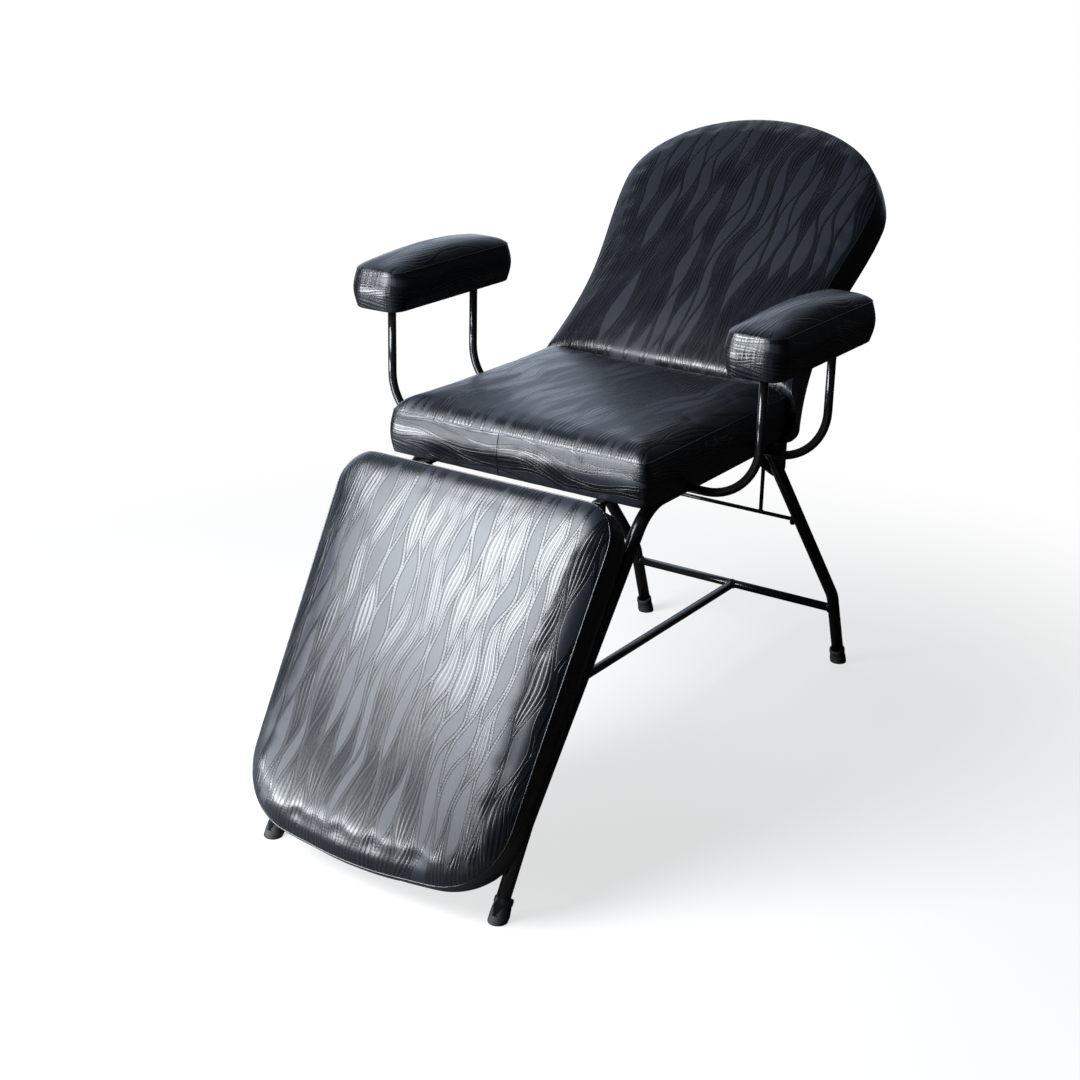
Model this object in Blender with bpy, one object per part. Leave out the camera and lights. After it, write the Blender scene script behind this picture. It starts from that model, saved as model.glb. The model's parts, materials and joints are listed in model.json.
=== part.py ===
"""Treatment table: a padded leg rest, seat, back and two arms on a frame of bent steel tube.

+X is the sitter's left, -Y is the foot end and +Z is up. The floor is Z = 0. Lengths are in metres
and Y is first measured from the middle of the seat. At the end the whole object is moved along Y
so that the origin lies on the floor under the middle of its box.
"""

import math

import bmesh
import bpy
from mathutils import Matrix, Vector

# Clearances
GAP = 0.0003
PIN_CLEARANCE = 0.0001
PLATE_CLEARANCE = 0.0006

# Seat
SEAT_WIDTH = 0.54
SEAT_DEPTH = 0.52
SEAT_HEIGHT = 0.707
SEAT_THICKNESS = 0.091
SEAT_BOARD = 0.015
SEAT_CORNER = 0.028
SEAT_CROWN = 0.016
BOARD_INSET = 0.003
SIDE_DRAW = 0.003
CROWN_RUN = 0.16

# Back, measured along its own slope from the line where it meets the seat
BACK_RECLINE = math.radians(45)
BACK_SEAT_GAP = 0.005
BACK_LENGTH = 0.606
BACK_THICKNESS = 0.08
BACK_BOARD = 0.012
BACK_CROWN = 0.016
BACK_WAIST_HALF = 0.255
BACK_SHOULDER_HALF = 0.281
BACK_WAIST_AT = 0.165
BACK_SHOULDER_AT = 0.42
BACK_TAIL_FLARE = 0.042
BACK_TAIL_CORNER = 0.03
BACK_TAIL_EDGE = 0.004

# Leg rest
LEG_DROP = math.radians(59)
LEG_LENGTH = 0.686
LEG_HEAD_WIDTH = 0.572
LEG_FOOT_WIDTH = 0.540
LEG_THICKNESS = 0.066
LEG_BOARD = 0.012
LEG_CROWN = 0.018
LEG_HEAD_CORNER = 0.06
LEG_FOOT_CORNER = 0.13
LEG_FOOT_BOW = 0.028
LEG_FOOT_BOW_RADIUS = 0.8
LEG_HINGE_BELOW_TOP = 0.12
LEG_HINGE_AHEAD = 0.006
LEG_END_AHEAD = 0.002

# Arm pads
ARM_WIDTH = 0.108
ARM_LENGTH = 0.384
ARM_THICKNESS = 0.073
ARM_BOARD = 0.012
ARM_CORNER = 0.028
ARM_CROWN = 0.010
ARM_BULGE = 0.005
ARM_X = 0.395
ARM_REAR_INSET = 0.025
ARM_RISE = 0.132
ARM_POSTS_AHEAD = 0.003
ARM_POST_SPACING = 0.264
ARM_PLATE = 0.004
ARM_PLATE_WIDTH = 0.03
ARM_PLATE_OVERHANG = 0.02

# Tubes and rods
LEG_TUBE = 0.025
LEG_TUBE_WALL = 0.0015
ARM_TUBE = 0.016
BAR_TUBE = 0.018
LIGHT_TUBE_WALL = 0.0012
PROP_ROD = 0.008
PROP_BAR = 0.010
TUBE_SIDES = 14
SMALL_TUBE_SIDES = 12

# Frame: X of the rails and legs, then distances from the seat's front and rear edges and drops below its
# seam. A foot's splay is how far it goes outwards for each metre of height below the bend.
RAIL_X = 0.2435
RAIL_REAR_INSET = 0.0015
FRONT_LEG_TOP_INSET = 0.0555
FRONT_BEND_AHEAD = 0.299
FRONT_BEND_DROP = 0.561
FRONT_FOOT_SPLAY = 0.5411
REAR_LEG_TOP_INSET = 0.023
REAR_BEND_BEHIND = 0.337
REAR_BEND_DROP = 0.533
REAR_FOOT_SPLAY = 0.33103
KNEE_RADIUS = 0.10
ANKLE_RADIUS = 0.08
ARM_BEND_RADIUS = 0.10
CROSS_BAR_DROP = 0.567
SEAT_FRONT_TUBE_INSET = 0.135
SEAT_REAR_TUBE_INSET = 0.130
PLUG_DEPTH = 0.012
PLUG_HEAD = 0.003

# Feet
FERRULE_RADIUS = 0.0175
FERRULE_HEIGHT = 0.036
FERRULE_SOLE = 0.008
FERRULE_SIDES = 16

# Seat bolts
BOLT_RADIUS = 0.003
BOLT_HEAD_RADIUS = 0.0065
BOLT_HEAD = 0.004
BOLT_GRIP = 0.010
BOLT_X = 0.14

# Hinges of the leg rest
LEG_HINGE_X = 0.193
LEG_HINGE_WIDTH = 0.034
LEG_HINGE_LEAF = 0.005
LEG_HINGE_LEAF_LENGTH = 0.10
LEG_HINGE_EYE = 0.010
LEG_PIN_RADIUS = 0.004
LEG_PIN_HEAD_RADIUS = 0.007
PIN_HEAD = 0.003
PIN_SIDES = 16
BUMPER_X = 0.10
BUMPER_WIDTH = 0.04
BUMPER_LENGTH = 0.03

# Hinges of the back
HINGE_PLATE = 0.005
HINGE_PLATE_FRONT = 0.070
HINGE_PLATE_FRONT_DROP = 0.045
HINGE_PLATE_BACK = 0.046
HINGE_PLATE_BACK_DROP = 0.030
HINGE_PLATE_DROP = 0.088
HINGE_PLATE_EYE = 0.014
HINGE_PLATE_CORNER = 0.008
BACK_PIN_RADIUS = 0.005
BACK_PIN_HEAD_RADIUS = 0.009
BACK_ARM_EYE = 0.016
BACK_ARM_LENGTH = 0.15
BACK_ARM_FLANGE = 0.026
BACK_ARM_FLANGE_PLATE = 0.004

# Prop behind the back
PROP_FOOT_DROP = 0.310
PROP_UPRIGHT_X = 0.155
PROP_BAR_HALF = 0.185
PROP_LUG = 0.004
PROP_LUG_RADIUS = 0.012
PROP_STRIP = 0.003
PROP_STRIP_WIDTH = 0.03
PROP_STRIP_SPARE = 0.03
PROP_CLEARANCE = 0.0005

# Shape resolution
ARC_STEPS = 4
EDGE_STEPS = 6
BEND_STEPS = 7
ANKLE_STEPS = 3
OUTLINE_STEPS = 12

# Derived places
SEAT_FRONT_Y = -SEAT_DEPTH / 2
SEAT_REAR_Y = SEAT_DEPTH / 2
RAIL_REAR_Y = SEAT_REAR_Y - RAIL_REAR_INSET
FRONT_LEG_TOP_Y = SEAT_FRONT_Y + FRONT_LEG_TOP_INSET
FRONT_BEND_Y = SEAT_FRONT_Y - FRONT_BEND_AHEAD
FRONT_BEND_Z = SEAT_HEIGHT - FRONT_BEND_DROP
FRONT_FOOT_Y = FRONT_BEND_Y - FRONT_BEND_Z * FRONT_FOOT_SPLAY
REAR_LEG_TOP_Y = SEAT_REAR_Y - REAR_LEG_TOP_INSET
REAR_BEND_Y = SEAT_REAR_Y + REAR_BEND_BEHIND
REAR_BEND_Z = SEAT_HEIGHT - REAR_BEND_DROP
REAR_FOOT_Y = REAR_BEND_Y + REAR_BEND_Z * REAR_FOOT_SPLAY
CROSS_BAR_Z = SEAT_HEIGHT - CROSS_BAR_DROP
SEAT_FRONT_TUBE_Y = SEAT_FRONT_Y + SEAT_FRONT_TUBE_INSET
SEAT_REAR_TUBE_Y = SEAT_REAR_Y - SEAT_REAR_TUBE_INSET
ARM_Y = SEAT_REAR_Y - ARM_REAR_INSET - ARM_LENGTH / 2
ARM_POST_Y = ARM_Y - ARM_POSTS_AHEAD
ARM_BOTTOM = SEAT_HEIGHT + ARM_RISE
PROP_FOOT_Z = SEAT_HEIGHT - PROP_FOOT_DROP
TUBE_RADIUS = LEG_TUBE / 2
RAIL_Z = SEAT_HEIGHT - SEAT_THICKNESS - GAP - TUBE_RADIUS
SEAT_BOTTOM = SEAT_HEIGHT - SEAT_THICKNESS
BACK_HINGE_Z = RAIL_Z
BACK_FACE = SEAT_HEIGHT - BACK_HINGE_Z
BACK_START = BACK_FACE * math.tan(BACK_RECLINE / 2)
BACK_HINGE_Y = SEAT_REAR_Y + BACK_SEAT_GAP + BACK_START
BACK_UNDERSIDE = BACK_FACE - BACK_THICKNESS
LEG_HINGE_Y = SEAT_FRONT_Y - LEG_HINGE_AHEAD
LEG_HINGE_Z = SEAT_HEIGHT - LEG_HINGE_BELOW_TOP
LEG_UNDERSIDE = LEG_HINGE_BELOW_TOP - LEG_THICKNESS
SIDES = {"left": 1, "right": -1}


def share(low, high, value):
    """How far value lies between low and high, from 0 to 1."""
    return (value - low) / (high - low)


REAR_LEG_SLOPE = (REAR_BEND_Y - REAR_LEG_TOP_Y) / (RAIL_Z - REAR_BEND_Z)
FRONT_BAR_Y = FRONT_BEND_Y + (FRONT_FOOT_Y - FRONT_BEND_Y) * share(FRONT_BEND_Z, 0, CROSS_BAR_Z)
REAR_BAR_Y = REAR_BEND_Y + (REAR_FOOT_Y - REAR_BEND_Y) * share(REAR_BEND_Z, 0, CROSS_BAR_Z)
PROP_FOOT_Y = REAR_LEG_TOP_Y + (RAIL_Z - PROP_FOOT_Z) * REAR_LEG_SLOPE


def clear_scene():
    for item in list(bpy.data.objects):
        bpy.data.objects.remove(item, do_unlink=True)


def make_material(name, colour, roughness, metallic=0.0):
    material = bpy.data.materials.new(name)
    material.use_nodes = True
    shader = material.node_tree.nodes["Principled BSDF"]
    shader.inputs["Base Color"].default_value = (*colour, 1.0)
    shader.inputs["Roughness"].default_value = roughness
    shader.inputs["Metallic"].default_value = metallic
    return material


FINISHES = {
    "vinyl": ((0.012, 0.013, 0.017), 0.38, 0.0),
    "paint": ((0.006, 0.006, 0.007), 0.22, 0.0),
    "rubber": ((0.010, 0.010, 0.010), 0.75, 0.0),
    "plywood": ((0.42, 0.29, 0.17), 0.65, 0.0),
    "steel": ((0.55, 0.55, 0.56), 0.32, 1.0),
    "plastic": ((0.012, 0.012, 0.012), 0.5, 0.0),
}


def add_empty(name, parent, location, turn_x=0.0):
    empty = bpy.data.objects.new(name, None)
    empty.parent = parent
    empty.location = location
    empty.rotation_euler = (turn_x, 0.0, 0.0)
    bpy.context.scene.collection.objects.link(empty)
    return empty


def add_node(name, bm, finish, parent, location=(0.0, 0.0, 0.0)):
    """Turns a bmesh into a named object with its own material."""
    bmesh.ops.recalc_face_normals(bm, faces=bm.faces)
    mesh = bpy.data.meshes.new(name)
    bm.to_mesh(mesh)
    bm.free()
    mesh.shade_smooth()
    mesh.set_sharp_from_angle(angle=math.radians(35))
    mesh.materials.append(make_material(name, *FINISHES[finish]))
    node = bpy.data.objects.new(name, mesh)
    node.parent = parent
    node.location = location
    bpy.context.scene.collection.objects.link(node)
    return node


# Outlines

def rounded_outline(corners, radii, edge_steps=1):
    """Counter-clockwise corners become a closed outline with round corners and divided edges."""
    count = len(corners)
    arcs = []
    for i, (corner, radius) in enumerate(zip(corners, radii)):
        here = Vector(corner)
        before = (Vector(corners[i - 1]) - here).normalized()
        after = (Vector(corners[(i + 1) % count]) - here).normalized()
        half = before.angle(after) / 2
        centre = here + (before + after).normalized() * (radius / math.sin(half))
        start = here + before * (radius / math.tan(half)) - centre
        step = (math.pi - 2 * half) / ARC_STEPS
        arcs.append([centre + Matrix.Rotation(step * k, 2) @ start for k in range(ARC_STEPS + 1)])
    outline = []
    for i, arc in enumerate(arcs):
        outline.extend(arc)
        following = arcs[(i + 1) % count][0]
        for k in range(1, edge_steps):
            outline.append(arc[-1].lerp(following, k / edge_steps))
    return outline


def rectangle(centre, half_x, half_y):
    """Counter-clockwise corners of a rectangle."""
    turns = ((-1, -1), (1, -1), (1, 1), (-1, 1))
    return [Vector(centre) + Vector((a * half_x, b * half_y)) for a, b in turns]


def circle(radius, sides):
    angles = [2 * math.pi * k / sides for k in range(sides)]
    return [Vector((radius * math.cos(a), radius * math.sin(a))) for a in angles]


def inset_outline(outline, distance):
    """Moves each point of a counter-clockwise outline inwards by a distance."""
    count = len(outline)
    moved = []
    for i, point in enumerate(outline):
        along = (outline[(i + 1) % count] - outline[i - 1]).normalized()
        moved.append(point + Vector((-along.y, along.x)) * distance)
    return moved


# Solids

def add_ring(bm, points):
    return [bm.verts.new(p) for p in points]


def bridge(bm, ring_a, ring_b):
    count = len(ring_a)
    for i in range(count):
        j = (i + 1) % count
        bm.faces.new((ring_a[i], ring_a[j], ring_b[j], ring_b[i]))


def fan(bm, ring, point):
    centre = bm.verts.new(point)
    count = len(ring)
    for i in range(count):
        bm.faces.new((ring[i], ring[(i + 1) % count], centre))


def loft(rings, closed_start=True, closed_end=True):
    """A solid through rings of points; the ends are flat faces unless the rings form a loop."""
    bm = bmesh.new()
    made = [add_ring(bm, ring) for ring in rings]
    for ring_a, ring_b in zip(made, made[1:]):
        bridge(bm, ring_a, ring_b)
    if closed_start:
        bm.faces.new(made[0])
    if closed_end:
        bm.faces.new(made[-1])
    if not closed_start and not closed_end:
        bridge(bm, made[-1], made[0])
    return bm


def slab(outline, low, high):
    """A flat board: an XY outline between two heights."""
    return loft([[(p.x, p.y, low) for p in outline], [(p.x, p.y, high) for p in outline]])


def side_plate(outline, holes, low_x, high_x):
    """A plate in the YZ plane, with round holes, between two places along X."""
    bm = bmesh.new()
    edges = []
    for loop in [outline, *holes]:
        ring = [bm.verts.new((low_x, p.x, p.y)) for p in loop]
        edges.extend(bm.edges.new((ring[i - 1], ring[i])) for i in range(len(ring)))
    bmesh.ops.triangle_fill(bm, use_beauty=True, edges=edges)
    grown = bmesh.ops.extrude_face_region(bm, geom=list(bm.faces))
    verts = [item for item in grown["geom"] if isinstance(item, bmesh.types.BMVert)]
    bmesh.ops.translate(bm, vec=(high_x - low_x, 0, 0), verts=verts)
    return bm


def turned_pin(sections, sides):
    """A pin along X from (x, radius) sections."""
    rings = []
    for x, radius in sections:
        rings.append([(x, p.x, p.y) for p in circle(radius, sides)])
    return loft(rings)


def hole_radius(pin_radius, sides):
    """Vertex radius of a faceted hole that a faceted pin turns in without touching."""
    return (pin_radius + PIN_CLEARANCE) / math.cos(math.pi / sides)


def edge_distance(point, outline):
    """Distance from a point inside an outline to its nearest side."""
    nearest = math.inf
    for i, end in enumerate(outline):
        start = outline[i - 1]
        along = end - start
        part = max(0.0, min(1.0, (point - start).dot(along) / along.length_squared))
        nearest = min(nearest, (point - start - along * part).length)
    return nearest


CROWN_STEPS = (0.04, 0.12, 0.26, 0.45, 0.7)


def cushion(outline, centre, low, seam, crown, draw, run):
    """A boxed cushion: flat base, side panel drawn in between its seams, domed top panel.

    The crown rises over a run from the seam. A draw below 0 makes the side panel bulge.
    """
    rings = [
        [(p.x, p.y, low) for p in outline],
        [(p.x, p.y, (low + seam) / 2) for p in inset_outline(outline, draw)],
        [(p.x, p.y, seam) for p in outline],
    ]
    for inwards in CROWN_STEPS:
        ring = []
        for p in outline:
            place = p.lerp(centre, inwards)
            rise = math.sin(math.pi / 2 * min(1.0, edge_distance(place, outline) / run))
            ring.append((*place, seam + crown * rise))
        rings.append(ring)
    bm = loft(rings, closed_end=False)
    bm.verts.ensure_lookup_table()
    fan(bm, bm.verts[-len(outline):], (*centre, seam + crown))
    return bm


def cut_away(bm, point, normal):
    """Removes what lies on the normal's side of a plane and closes the cut."""
    geometry = list(bm.verts) + list(bm.edges) + list(bm.faces)
    cut = bmesh.ops.bisect_plane(bm, geom=geometry, plane_co=point, plane_no=normal, clear_outer=True)
    rim = [item for item in cut["geom_cut"] if isinstance(item, bmesh.types.BMEdge)]
    bmesh.ops.contextual_create(bm, geom=rim)
    return bm


# Tubes

def bent_path(corners, radii, steps):
    """Points and directions along straight runs joined by round bends."""
    corners = [Vector(c) for c in corners]
    path = [(corners[0], (corners[1] - corners[0]).normalized())]
    for before, here, after, radius, count in zip(corners, corners[1:], corners[2:], radii, steps):
        inwards = (here - before).normalized()
        outwards = (after - here).normalized()
        turn = inwards.angle(outwards)
        start = here - inwards * radius * math.tan(turn / 2)
        axis = inwards.cross(outwards).normalized()
        centre = start + axis.cross(inwards) * radius
        for k in range(count + 1):
            rotation = Matrix.Rotation(turn * k / count, 3, axis)
            path.append((centre + rotation @ (start - centre), rotation @ inwards))
    path.append((corners[-1], (corners[-1] - corners[-2]).normalized()))
    return path


def meet_cylinder(point, direction, seat):
    """Slides a point along a direction until it reaches the outside of the seat tube."""
    axis_point, axis, radius = seat
    offset = point - axis_point
    across = offset - axis * offset.dot(axis)
    step = direction - axis * direction.dot(axis)
    half = across.dot(step) / step.length_squared
    rest = (across.length_squared - radius ** 2) / step.length_squared
    return point + direction * (-half - math.sqrt(half ** 2 - rest))


def tube(path, plane_normal, diameter, wall, sides, start_on=None, end_on=None):
    """A round tube along a flat path; an end can be shaped to the side of another tube.

    A wall of 0 makes a solid rod.
    """
    normal = Vector(plane_normal)

    def skin(radius):
        rings = []
        for place, (point, direction) in enumerate(path):
            across = direction.cross(normal)
            ring = [point + normal * p.x + across * p.y for p in circle(radius, sides)]
            if place == 0 and start_on:
                ring = [meet_cylinder(v + direction * diameter, -direction, start_on) for v in ring]
            if place == len(path) - 1 and end_on:
                ring = [meet_cylinder(v - direction * diameter, direction, end_on) for v in ring]
            rings.append(ring)
        return rings

    outer = skin(diameter / 2)
    if wall == 0:
        return loft(outer)
    return loft(outer + skin(diameter / 2 - wall)[::-1], closed_start=False, closed_end=False)


def seat_on(point, direction, diameter):
    """The surface that another tube's end is shaped to."""
    return Vector(point), Vector(direction).normalized(), diameter / 2 + GAP


def straight(start, end):
    return bent_path([start, end], [], [])


# Frame

def ferrule(foot, upwards):
    """A rubber cup with a flat sole, holding a leg that leans along upwards."""
    across = Vector((1, 0, 0))
    other = upwards.cross(across)

    def square_ring(distance, radius):
        middle = foot + upwards * distance
        return [middle + across * p.x + other * p.y for p in circle(radius, FERRULE_SIDES)]

    sole = [foot + Vector((p.x, p.y, 0)) for p in circle(FERRULE_RADIUS, FERRULE_SIDES)]
    top = FERRULE_HEIGHT / upwards.z
    bore = LEG_TUBE / 2 + GAP
    rim = square_ring(top, FERRULE_RADIUS)
    return loft([sole, rim, square_ring(top, bore), square_ring(FERRULE_SOLE, bore)])


def leg_end(bend, foot):
    """Where a leg's tube stops inside its ferrule, and the way the leg leans."""
    upwards = (bend - foot).normalized()
    return foot + upwards * (FERRULE_SOLE + GAP), upwards


def build_legs(frame, side, sign):
    x = sign * RAIL_X
    rail = seat_on((x, 0, RAIL_Z), (0, 1, 0), LEG_TUBE)
    front_bend = Vector((x, FRONT_BEND_Y, FRONT_BEND_Z))
    front_foot = Vector((x, FRONT_FOOT_Y, 0))
    front_end, front_lean = leg_end(front_bend, front_foot)
    path = bent_path(
        [(x, RAIL_REAR_Y, RAIL_Z), (x, FRONT_LEG_TOP_Y, RAIL_Z), front_bend, front_end],
        [KNEE_RADIUS, ANKLE_RADIUS],
        [BEND_STEPS, ANKLE_STEPS],
    )
    body = tube(path, (1, 0, 0), LEG_TUBE, LEG_TUBE_WALL, TUBE_SIDES)
    add_node(f"front_leg_and_rail_{side}", body, "paint", frame)
    add_node(f"front_foot_{side}", ferrule(front_foot, front_lean), "rubber", frame)

    rear_bend = Vector((x, REAR_BEND_Y, REAR_BEND_Z))
    rear_foot = Vector((x, REAR_FOOT_Y, 0))
    rear_end, rear_lean = leg_end(rear_bend, rear_foot)
    path = bent_path([(x, REAR_LEG_TOP_Y, RAIL_Z), rear_bend, rear_end], [ANKLE_RADIUS], [ANKLE_STEPS])
    body = tube(path, (1, 0, 0), LEG_TUBE, LEG_TUBE_WALL, TUBE_SIDES, start_on=rail)
    add_node(f"rear_leg_{side}", body, "paint", frame)
    add_node(f"rear_foot_{side}", ferrule(rear_foot, rear_lean), "rubber", frame)

    bore = LEG_TUBE / 2 - LEG_TUBE_WALL - GAP
    head = RAIL_REAR_Y + GAP
    sections = [(head - PLUG_DEPTH, bore), (head, bore), (head, TUBE_RADIUS), (head + PLUG_HEAD, TUBE_RADIUS)]
    rings = [[(x + p.x, y, RAIL_Z + p.y) for p in circle(r, TUBE_SIDES)] for y, r in sections]
    add_node(f"rail_plug_{side}", loft(rings), "plastic", frame)


def cross_tube(frame, name, y, z, joined_z, joined_direction, bolt_holes=False):
    """A tube across the frame, its ends shaped to the two tubes that it joins."""
    right = seat_on((-RAIL_X, y, joined_z), joined_direction, LEG_TUBE)
    left = seat_on((RAIL_X, y, joined_z), joined_direction, LEG_TUBE)
    body = tube(
        straight((-RAIL_X, y, z), (RAIL_X, y, z)),
        (0, 0, 1), BAR_TUBE, LIGHT_TUBE_WALL, SMALL_TUBE_SIDES, start_on=right, end_on=left,
    )
    node = add_node(name, body, "paint", frame)
    if bolt_holes:
        for sign in SIDES.values():
            drill(node, frame, (sign * BOLT_X, y, z), BAR_TUBE)


def drill(node, frame, centre, half_depth):
    """Cuts an upright bolt hole through a node."""
    radius = hole_radius(BOLT_RADIUS, SMALL_TUBE_SIDES) + GAP
    rings = []
    for z in (-half_depth, half_depth):
        rings.append([(p.x, p.y, z) for p in circle(radius, SMALL_TUBE_SIDES)])
    cutter = add_node(f"drill_{node.name}_{len(node.modifiers)}", loft(rings), "steel", frame, centre)
    cutter.hide_render = True
    cutter.display_type = "WIRE"
    cut = node.modifiers.new("bolt_hole", "BOOLEAN")
    cut.operation = "DIFFERENCE"
    cut.object = cutter


def build_cross_tubes(frame):
    front_lean = (0, FRONT_BEND_Y - FRONT_FOOT_Y, FRONT_BEND_Z)
    rear_lean = (0, REAR_BEND_Y - REAR_FOOT_Y, REAR_BEND_Z)
    cross_tube(frame, "front_cross_bar", FRONT_BAR_Y, CROSS_BAR_Z, CROSS_BAR_Z, front_lean)
    cross_tube(frame, "rear_cross_bar", REAR_BAR_Y, CROSS_BAR_Z, CROSS_BAR_Z, rear_lean)
    for name, y in (("seat_front_tube", SEAT_FRONT_TUBE_Y), ("seat_rear_tube", SEAT_REAR_TUBE_Y)):
        cross_tube(frame, name, y, seat_tube_z(), RAIL_Z, (0, 1, 0), bolt_holes=True)
    front = seat_on((0, FRONT_BAR_Y, CROSS_BAR_Z), (1, 0, 0), BAR_TUBE)
    rear = seat_on((0, REAR_BAR_Y, CROSS_BAR_Z), (1, 0, 0), BAR_TUBE)
    body = tube(
        straight((0, FRONT_BAR_Y, CROSS_BAR_Z), (0, REAR_BAR_Y, CROSS_BAR_Z)),
        (1, 0, 0), BAR_TUBE, LIGHT_TUBE_WALL, SMALL_TUBE_SIDES, start_on=front, end_on=rear,
    )
    add_node("centre_stretcher", body, "paint", frame)


def seat_tube_z():
    """Height of the seat's cross tubes, which touch the underside of the seat board."""
    return SEAT_BOTTOM - GAP - BAR_TUBE / 2


# Seat

def build_seat(frame):
    corners = rectangle((0, 0), SEAT_WIDTH / 2, SEAT_DEPTH / 2)
    outline = rounded_outline(corners, [SEAT_CORNER] * 4, EDGE_STEPS)
    board_top = SEAT_BOTTOM + SEAT_BOARD
    board = slab(inset_outline(outline, BOARD_INSET), SEAT_BOTTOM, board_top)
    board_node = add_node("seat_board", board, "plywood", frame)
    body = cushion(outline, Vector((0, 0)), board_top + GAP, SEAT_HEIGHT, SEAT_CROWN, SIDE_DRAW, CROWN_RUN)
    add_node("seat_cushion", body, "vinyl", frame)
    for place, y in (("front", SEAT_FRONT_TUBE_Y), ("rear", SEAT_REAR_TUBE_Y)):
        for side, sign in SIDES.items():
            drill(board_node, frame, (sign * BOLT_X, y, SEAT_BOTTOM), BOLT_GRIP + GAP)
            build_seat_bolt(frame, f"seat_bolt_{place}_{side}", sign * BOLT_X, y)


def build_seat_bolt(frame, name, x, y):
    under = seat_tube_z() - BAR_TUBE / 2 - GAP
    sections = [
        (under - BOLT_HEAD, BOLT_HEAD_RADIUS),
        (under, BOLT_HEAD_RADIUS),
        (under, BOLT_RADIUS),
        (SEAT_BOTTOM + BOLT_GRIP, BOLT_RADIUS),
    ]
    rings = [[(x + p.x, y + p.y, z) for p in circle(r, SMALL_TUBE_SIDES)] for z, r in sections]
    add_node(name, loft(rings), "steel", frame)


# Arms

def build_arm(frame, side, sign):
    x = sign * ARM_X
    rail = seat_on((sign * RAIL_X, 0, RAIL_Z), (0, 1, 0), LEG_TUBE)
    post_top = ARM_BOTTOM - ARM_PLATE - 2 * GAP
    run_z = SEAT_BOTTOM - GAP - ARM_TUBE / 2
    places = {"front": ARM_POST_Y - ARM_POST_SPACING / 2, "rear": ARM_POST_Y + ARM_POST_SPACING / 2}
    for place, y in places.items():
        path = bent_path(
            [(x, y, post_top), (x, y, run_z), (sign * RAIL_X, y, run_z)],
            [ARM_BEND_RADIUS],
            [BEND_STEPS],
        )
        body = tube(path, (0, 1, 0), ARM_TUBE, LIGHT_TUBE_WALL, SMALL_TUBE_SIDES, end_on=rail)
        add_node(f"arm_post_{place}_{side}", body, "paint", frame)
    reach = ARM_POST_SPACING / 2 + ARM_PLATE_OVERHANG
    wide = ARM_PLATE_WIDTH / 2
    plate_low = ARM_BOTTOM - ARM_PLATE - GAP
    plate = slab(rectangle((x, ARM_POST_Y), wide, reach), plate_low, plate_low + ARM_PLATE)
    add_node(f"arm_plate_{side}", plate, "paint", frame)
    half_x = ARM_WIDTH / 2
    corners = rectangle((x, ARM_Y), half_x, ARM_LENGTH / 2)
    outline = rounded_outline(corners, [ARM_CORNER] * 4, EDGE_STEPS)
    board_top = ARM_BOTTOM + ARM_BOARD
    board = slab(inset_outline(outline, BOARD_INSET), ARM_BOTTOM, board_top)
    add_node(f"arm_board_{side}", board, "plywood", frame)
    seam = ARM_BOTTOM + ARM_THICKNESS
    body = cushion(outline, Vector((x, ARM_Y)), board_top + GAP, seam, ARM_CROWN, -ARM_BULGE, half_x)
    add_node(f"arm_pad_{side}", body, "vinyl", frame)


# Back: built lying flat with its hinge axis at the origin, then turned up by its recline

def back_half_width(along):
    """Half the back's width: a flared tail, a soft waist, then shoulders that close in a half ellipse."""
    if along > BACK_SHOULDER_AT:
        rise = min(1.0, share(BACK_SHOULDER_AT, BACK_LENGTH, along))
        return BACK_SHOULDER_HALF * math.sqrt(1 - rise ** 2)
    if along > BACK_WAIST_AT:
        part = share(BACK_WAIST_AT, BACK_SHOULDER_AT, along)
        ease = part * part * (3 - 2 * part)
        return BACK_WAIST_HALF + (BACK_SHOULDER_HALF - BACK_WAIST_HALF) * ease
    return BACK_WAIST_HALF + BACK_TAIL_FLARE * share(BACK_WAIST_AT, back_tail(), along) ** 2


def back_tail():
    """Where the back ends along its slope, behind the seat."""
    return BACK_TAIL_EDGE - BACK_THICKNESS * math.tan(BACK_RECLINE)


def back_outline():
    """Counter-clockwise outline of the back, from its tail up the left side and over the top."""
    low = back_tail() + BACK_TAIL_CORNER
    corner = Vector((back_half_width(low) - BACK_TAIL_CORNER, low))
    side = []
    for k in range(ARC_STEPS + 1):
        angle = math.pi / 2 * k / ARC_STEPS
        side.append(corner + Vector((math.sin(angle), -math.cos(angle))) * BACK_TAIL_CORNER)
    for k in range(1, EDGE_STEPS + 1):
        along = low + (BACK_SHOULDER_AT - low) * k / EDGE_STEPS
        side.append(Vector((back_half_width(along), along)))
    for k in range(1, OUTLINE_STEPS):
        rise = math.sin(math.pi / 2 * k / OUTLINE_STEPS)
        along = BACK_SHOULDER_AT + (BACK_LENGTH - BACK_SHOULDER_AT) * rise
        side.append(Vector((back_half_width(along), along)))
    top = Vector((0, BACK_LENGTH))
    mirrored = [Vector((-p.x, p.y)) for p in reversed(side)]
    start = Vector((0, BACK_START))
    return [p + start for p in side + [top] + mirrored]


def build_back(back):
    outline = back_outline()
    centre = Vector((0, BACK_START + BACK_LENGTH / 2))
    meeting = (0, BACK_START, BACK_FACE)
    towards_seat = (0, -math.cos(BACK_RECLINE), math.sin(BACK_RECLINE))
    board_top = BACK_UNDERSIDE + BACK_BOARD
    board = slab(inset_outline(outline, BOARD_INSET), BACK_UNDERSIDE, board_top)
    add_node("back_board", cut_away(board, meeting, towards_seat), "plywood", back)
    body = cushion(outline, centre, board_top + GAP, BACK_FACE, BACK_CROWN, SIDE_DRAW, CROWN_RUN)
    add_node("back_cushion", cut_away(body, meeting, towards_seat), "vinyl", back)


def hinge_plate_outer_x():
    return RAIL_X - TUBE_RADIUS - GAP


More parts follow.
